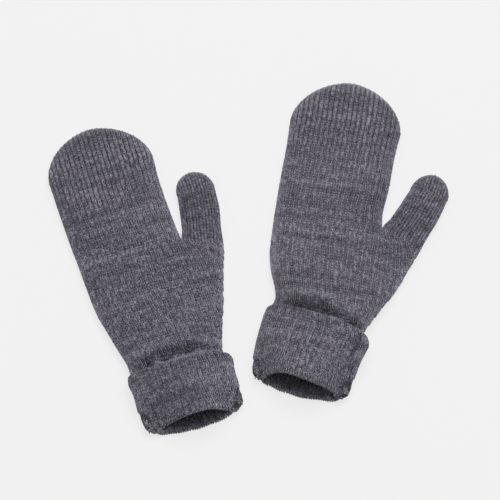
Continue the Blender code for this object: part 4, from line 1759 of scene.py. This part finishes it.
    @staticmethod
    def shape_mouth(rows: list[np.ndarray], move: np.ndarray, start: float) -> None:
        """Moves rows by a share of the mouth's own move that fades away from the mouth.

        Args:
            rows: the rows from the mouth on, changed in place.
            move: the move of each column at the mouth.
            start: how far from the mouth the first row is.
        """
        away = start
        before = rows[0].copy()
        for row in rows:
            plain = row.copy()
            away += float(np.linalg.norm(plain - before, axis=1).mean())
            share = min(1.0, away / CLOTH.lip_reach)
            row += move * (1 - share) ** 2 * (1 + 2 * share)
            before = plain

    def fold(self, rim: np.ndarray, behind: np.ndarray) -> list[np.ndarray]:
        """Rows round the fold, from its inner leg to its outer one, at right angles to the rim.

        Args:
            rim: the outer layer's first row.
            behind: the row after it.

        Returns:
            The rows in the mitten's own millimetres.
        """
        tangent = np.gradient(rim, axis=0)
        tangent[[0, -1]] = (0, 0, 1)
        tangent /= np.linalg.norm(tangent, axis=1)[:, None]
        forward = rim - behind
        forward -= tangent * (forward * tangent).sum(1)[:, None]
        forward /= np.linalg.norm(forward, axis=1)[:, None]
        inward = np.cross(tangent, forward)
        middle = (rim[0] + rim[-1]) / 2
        inward *= np.sign((inward * (middle - rim)).sum(1))[:, None]
        full = self.fullness(rim)[:, None]
        rows = []
        for step in range(self.fold_steps, 0, -1):
            angle = math.pi * step / self.fold_steps
            move = (1 - math.cos(angle)) * inward + math.sin(angle) * forward
            rows.append(rim + CLOTH.fold_radius * full * move)
        return rows

    def fullness(self, row: np.ndarray) -> np.ndarray:
        """How full the fold is, which is pinched at the mouth's two corners.

        Args:
            row: a row of points across the mouth.

        Returns:
            One share of the full radius for each point.
        """
        corner = np.minimum(row[:, 0] - row[0, 0], row[-1, 0] - row[:, 0])
        share = np.clip(corner / self.pinch_run, 0, 1)
        pinched = self.pinched[self.side is Side.UPPER]
        return pinched + (1 - pinched) * share**2 * (3 - 2 * share)

    def rim_of(self, surface: list[np.ndarray]) -> np.ndarray:
        """The outer layer's first row in the rows of the whole strip."""
        return surface[len(self.form.lining) + self.fold_steps]

    def cornered(self, places: np.ndarray, rim: np.ndarray, reach: float) -> np.ndarray:
        """How much each place belongs to a pinched corner of the mouth, from 0 to 1.

        Args:
            places: rows of places on the strip.
            rim: the outer layer's first row.
            reach: how far from the rim this fades out.

        Returns:
            One share a place.
        """
        off = np.linalg.norm(places[:, :, None] - rim, axis=3)
        near = np.exp(-((off.min(axis=2) / reach) ** 2))
        return near * (1 - self.fullness(rim)[off.argmin(axis=2)])

    def rim(self, lattice: np.ndarray) -> np.ndarray:
        """Rows of stitches that roll over the free edge of the outer layer.

        Args:
            lattice: the rows of stitches up to that edge.

        Returns:
            The rows beyond it.
        """
        last, before = lattice[-1], lattice[-2]
        forward = (last - before) / np.linalg.norm(last - before, axis=1)[:, None]
        across = np.gradient(last, axis=0) * self.side.value
        facing = np.cross(across, forward)
        facing /= np.linalg.norm(facing, axis=1)[:, None]
        rows = []
        for step in range(1, self.rim_steps + 1):
            angle = math.pi * step / self.rim_steps
            move = math.sin(angle) * forward * self.rim_stretch - (1 - math.cos(angle)) * facing
            rows.append(last + self.rim_radius * move)
        return np.array(rows)


@dataclass
class Mitten:
    """All the pieces of one mitten."""

    pattern: Pattern
    knitter: Knitter
    ground: bpy.types.Material

    def build(self) -> None:
        """Builds the lower side first, then the upper side that lies on it."""
        form = Form(self.pattern)
        below: dict[type, list[str]] = {}
        for side in (Side.LOWER, Side.UPPER):
            for kind in (HandSide, ThumbSide, CuffSide):
                piece = kind(form, side, self.knitter, self.ground)
                cloth = piece.build(below.get(kind, ["floor"]))
                below[kind] = [cloth.name]


@dataclass(frozen=True)
class Studio:
    """A plain pale floor, soft light and the camera."""

    aim: tuple[float, float, float] = (0.00145, 0.0033, 0.0)
    distance: float = 1.6
    elevation_deg: float = 65.0
    lens: float = 155.7
    sensor: float = 36.0
    floor_size: float = 6.0
    floor_drop: float = 0.0001      # how far under the mittens the floor lies
    floor_colour: tuple[float, float, float] = (0.12, 0.12, 0.12)
    floor_glow: float = 0.748
    world_strength: float = 0.39
    key_power: float = 105.0
    key_size: float = 2.4
    key_place: tuple[float, float, float] = (0.35, 1.15, 3.1)

    def build(self) -> None:
        """Adds the floor, the lights and the camera to the scene."""
        self.floor()
        self.lights()
        self.camera()

    def floor(self) -> None:
        """Adds the floor just under the mittens."""
        half = self.floor_size / 2
        data = bpy.data.meshes.new("floor")
        corners = [(x * half, y * half, -self.floor_drop) for x, y in ((-1, -1), (1, -1), (1, 1), (-1, 1))]
        data.from_pydata(corners, [], [(0, 1, 2, 3)])
        material = bpy.data.materials.new("pale_floor")
        material.use_nodes = True
        shader = material.node_tree.nodes["Principled BSDF"]
        set_inputs(shader, {
            "Base Color": (*self.floor_colour, 1), "Roughness": 1.0, "Specular IOR Level": 0.0,
            "Emission Color": (1, 1, 1, 1), "Emission Strength": self.floor_glow,
        })
        data.materials.append(material)
        floor = add_object("floor", data)

    def lights(self) -> None:
        """Adds an even surround and one large soft light."""
        world = bpy.data.worlds.new("studio")
        bpy.context.scene.world = world
        world.use_nodes = True
        surround = world.node_tree.nodes["Background"]
        set_inputs(surround, {"Color": (1, 1, 1, 1), "Strength": self.world_strength})
        data = bpy.data.lights.new("key", "AREA")
        data.energy = self.key_power
        data.size = self.key_size
        key = add_object("key", data)
        key.location = self.key_place
        key.rotation_euler = (Vector(self.aim) - key.location).to_track_quat("-Z", "Y").to_euler()

    def camera(self) -> None:
        """Adds the camera at the photograph's angle."""
        data = bpy.data.cameras.new("camera")
        data.lens = self.lens
        data.sensor_width = self.sensor
        camera = add_object("camera", data)
        elevation = math.radians(self.elevation_deg)
        back = Vector((0, -math.cos(elevation), math.sin(elevation)))
        camera.location = Vector(self.aim) + back * self.distance
        camera.rotation_euler = (-back).to_track_quat("-Z", "Y").to_euler()
        bpy.context.scene.camera = camera


def main() -> None:
    """Builds both mittens and the studio."""
    logging.basicConfig(level=logging.INFO, format="%(message)s")
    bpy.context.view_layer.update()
    bpy.context.scene.view_settings.view_transform = "Standard"
    yarn, ground = YARN.material(), SHADE_GROUND.material()
    knitter = Knitter(StitchShape(), yarn)
    for pattern in (LEFT, RIGHT):
        Mitten(pattern, knitter, ground).build()
    Studio().build()


if __name__ == "__main__":
    main()
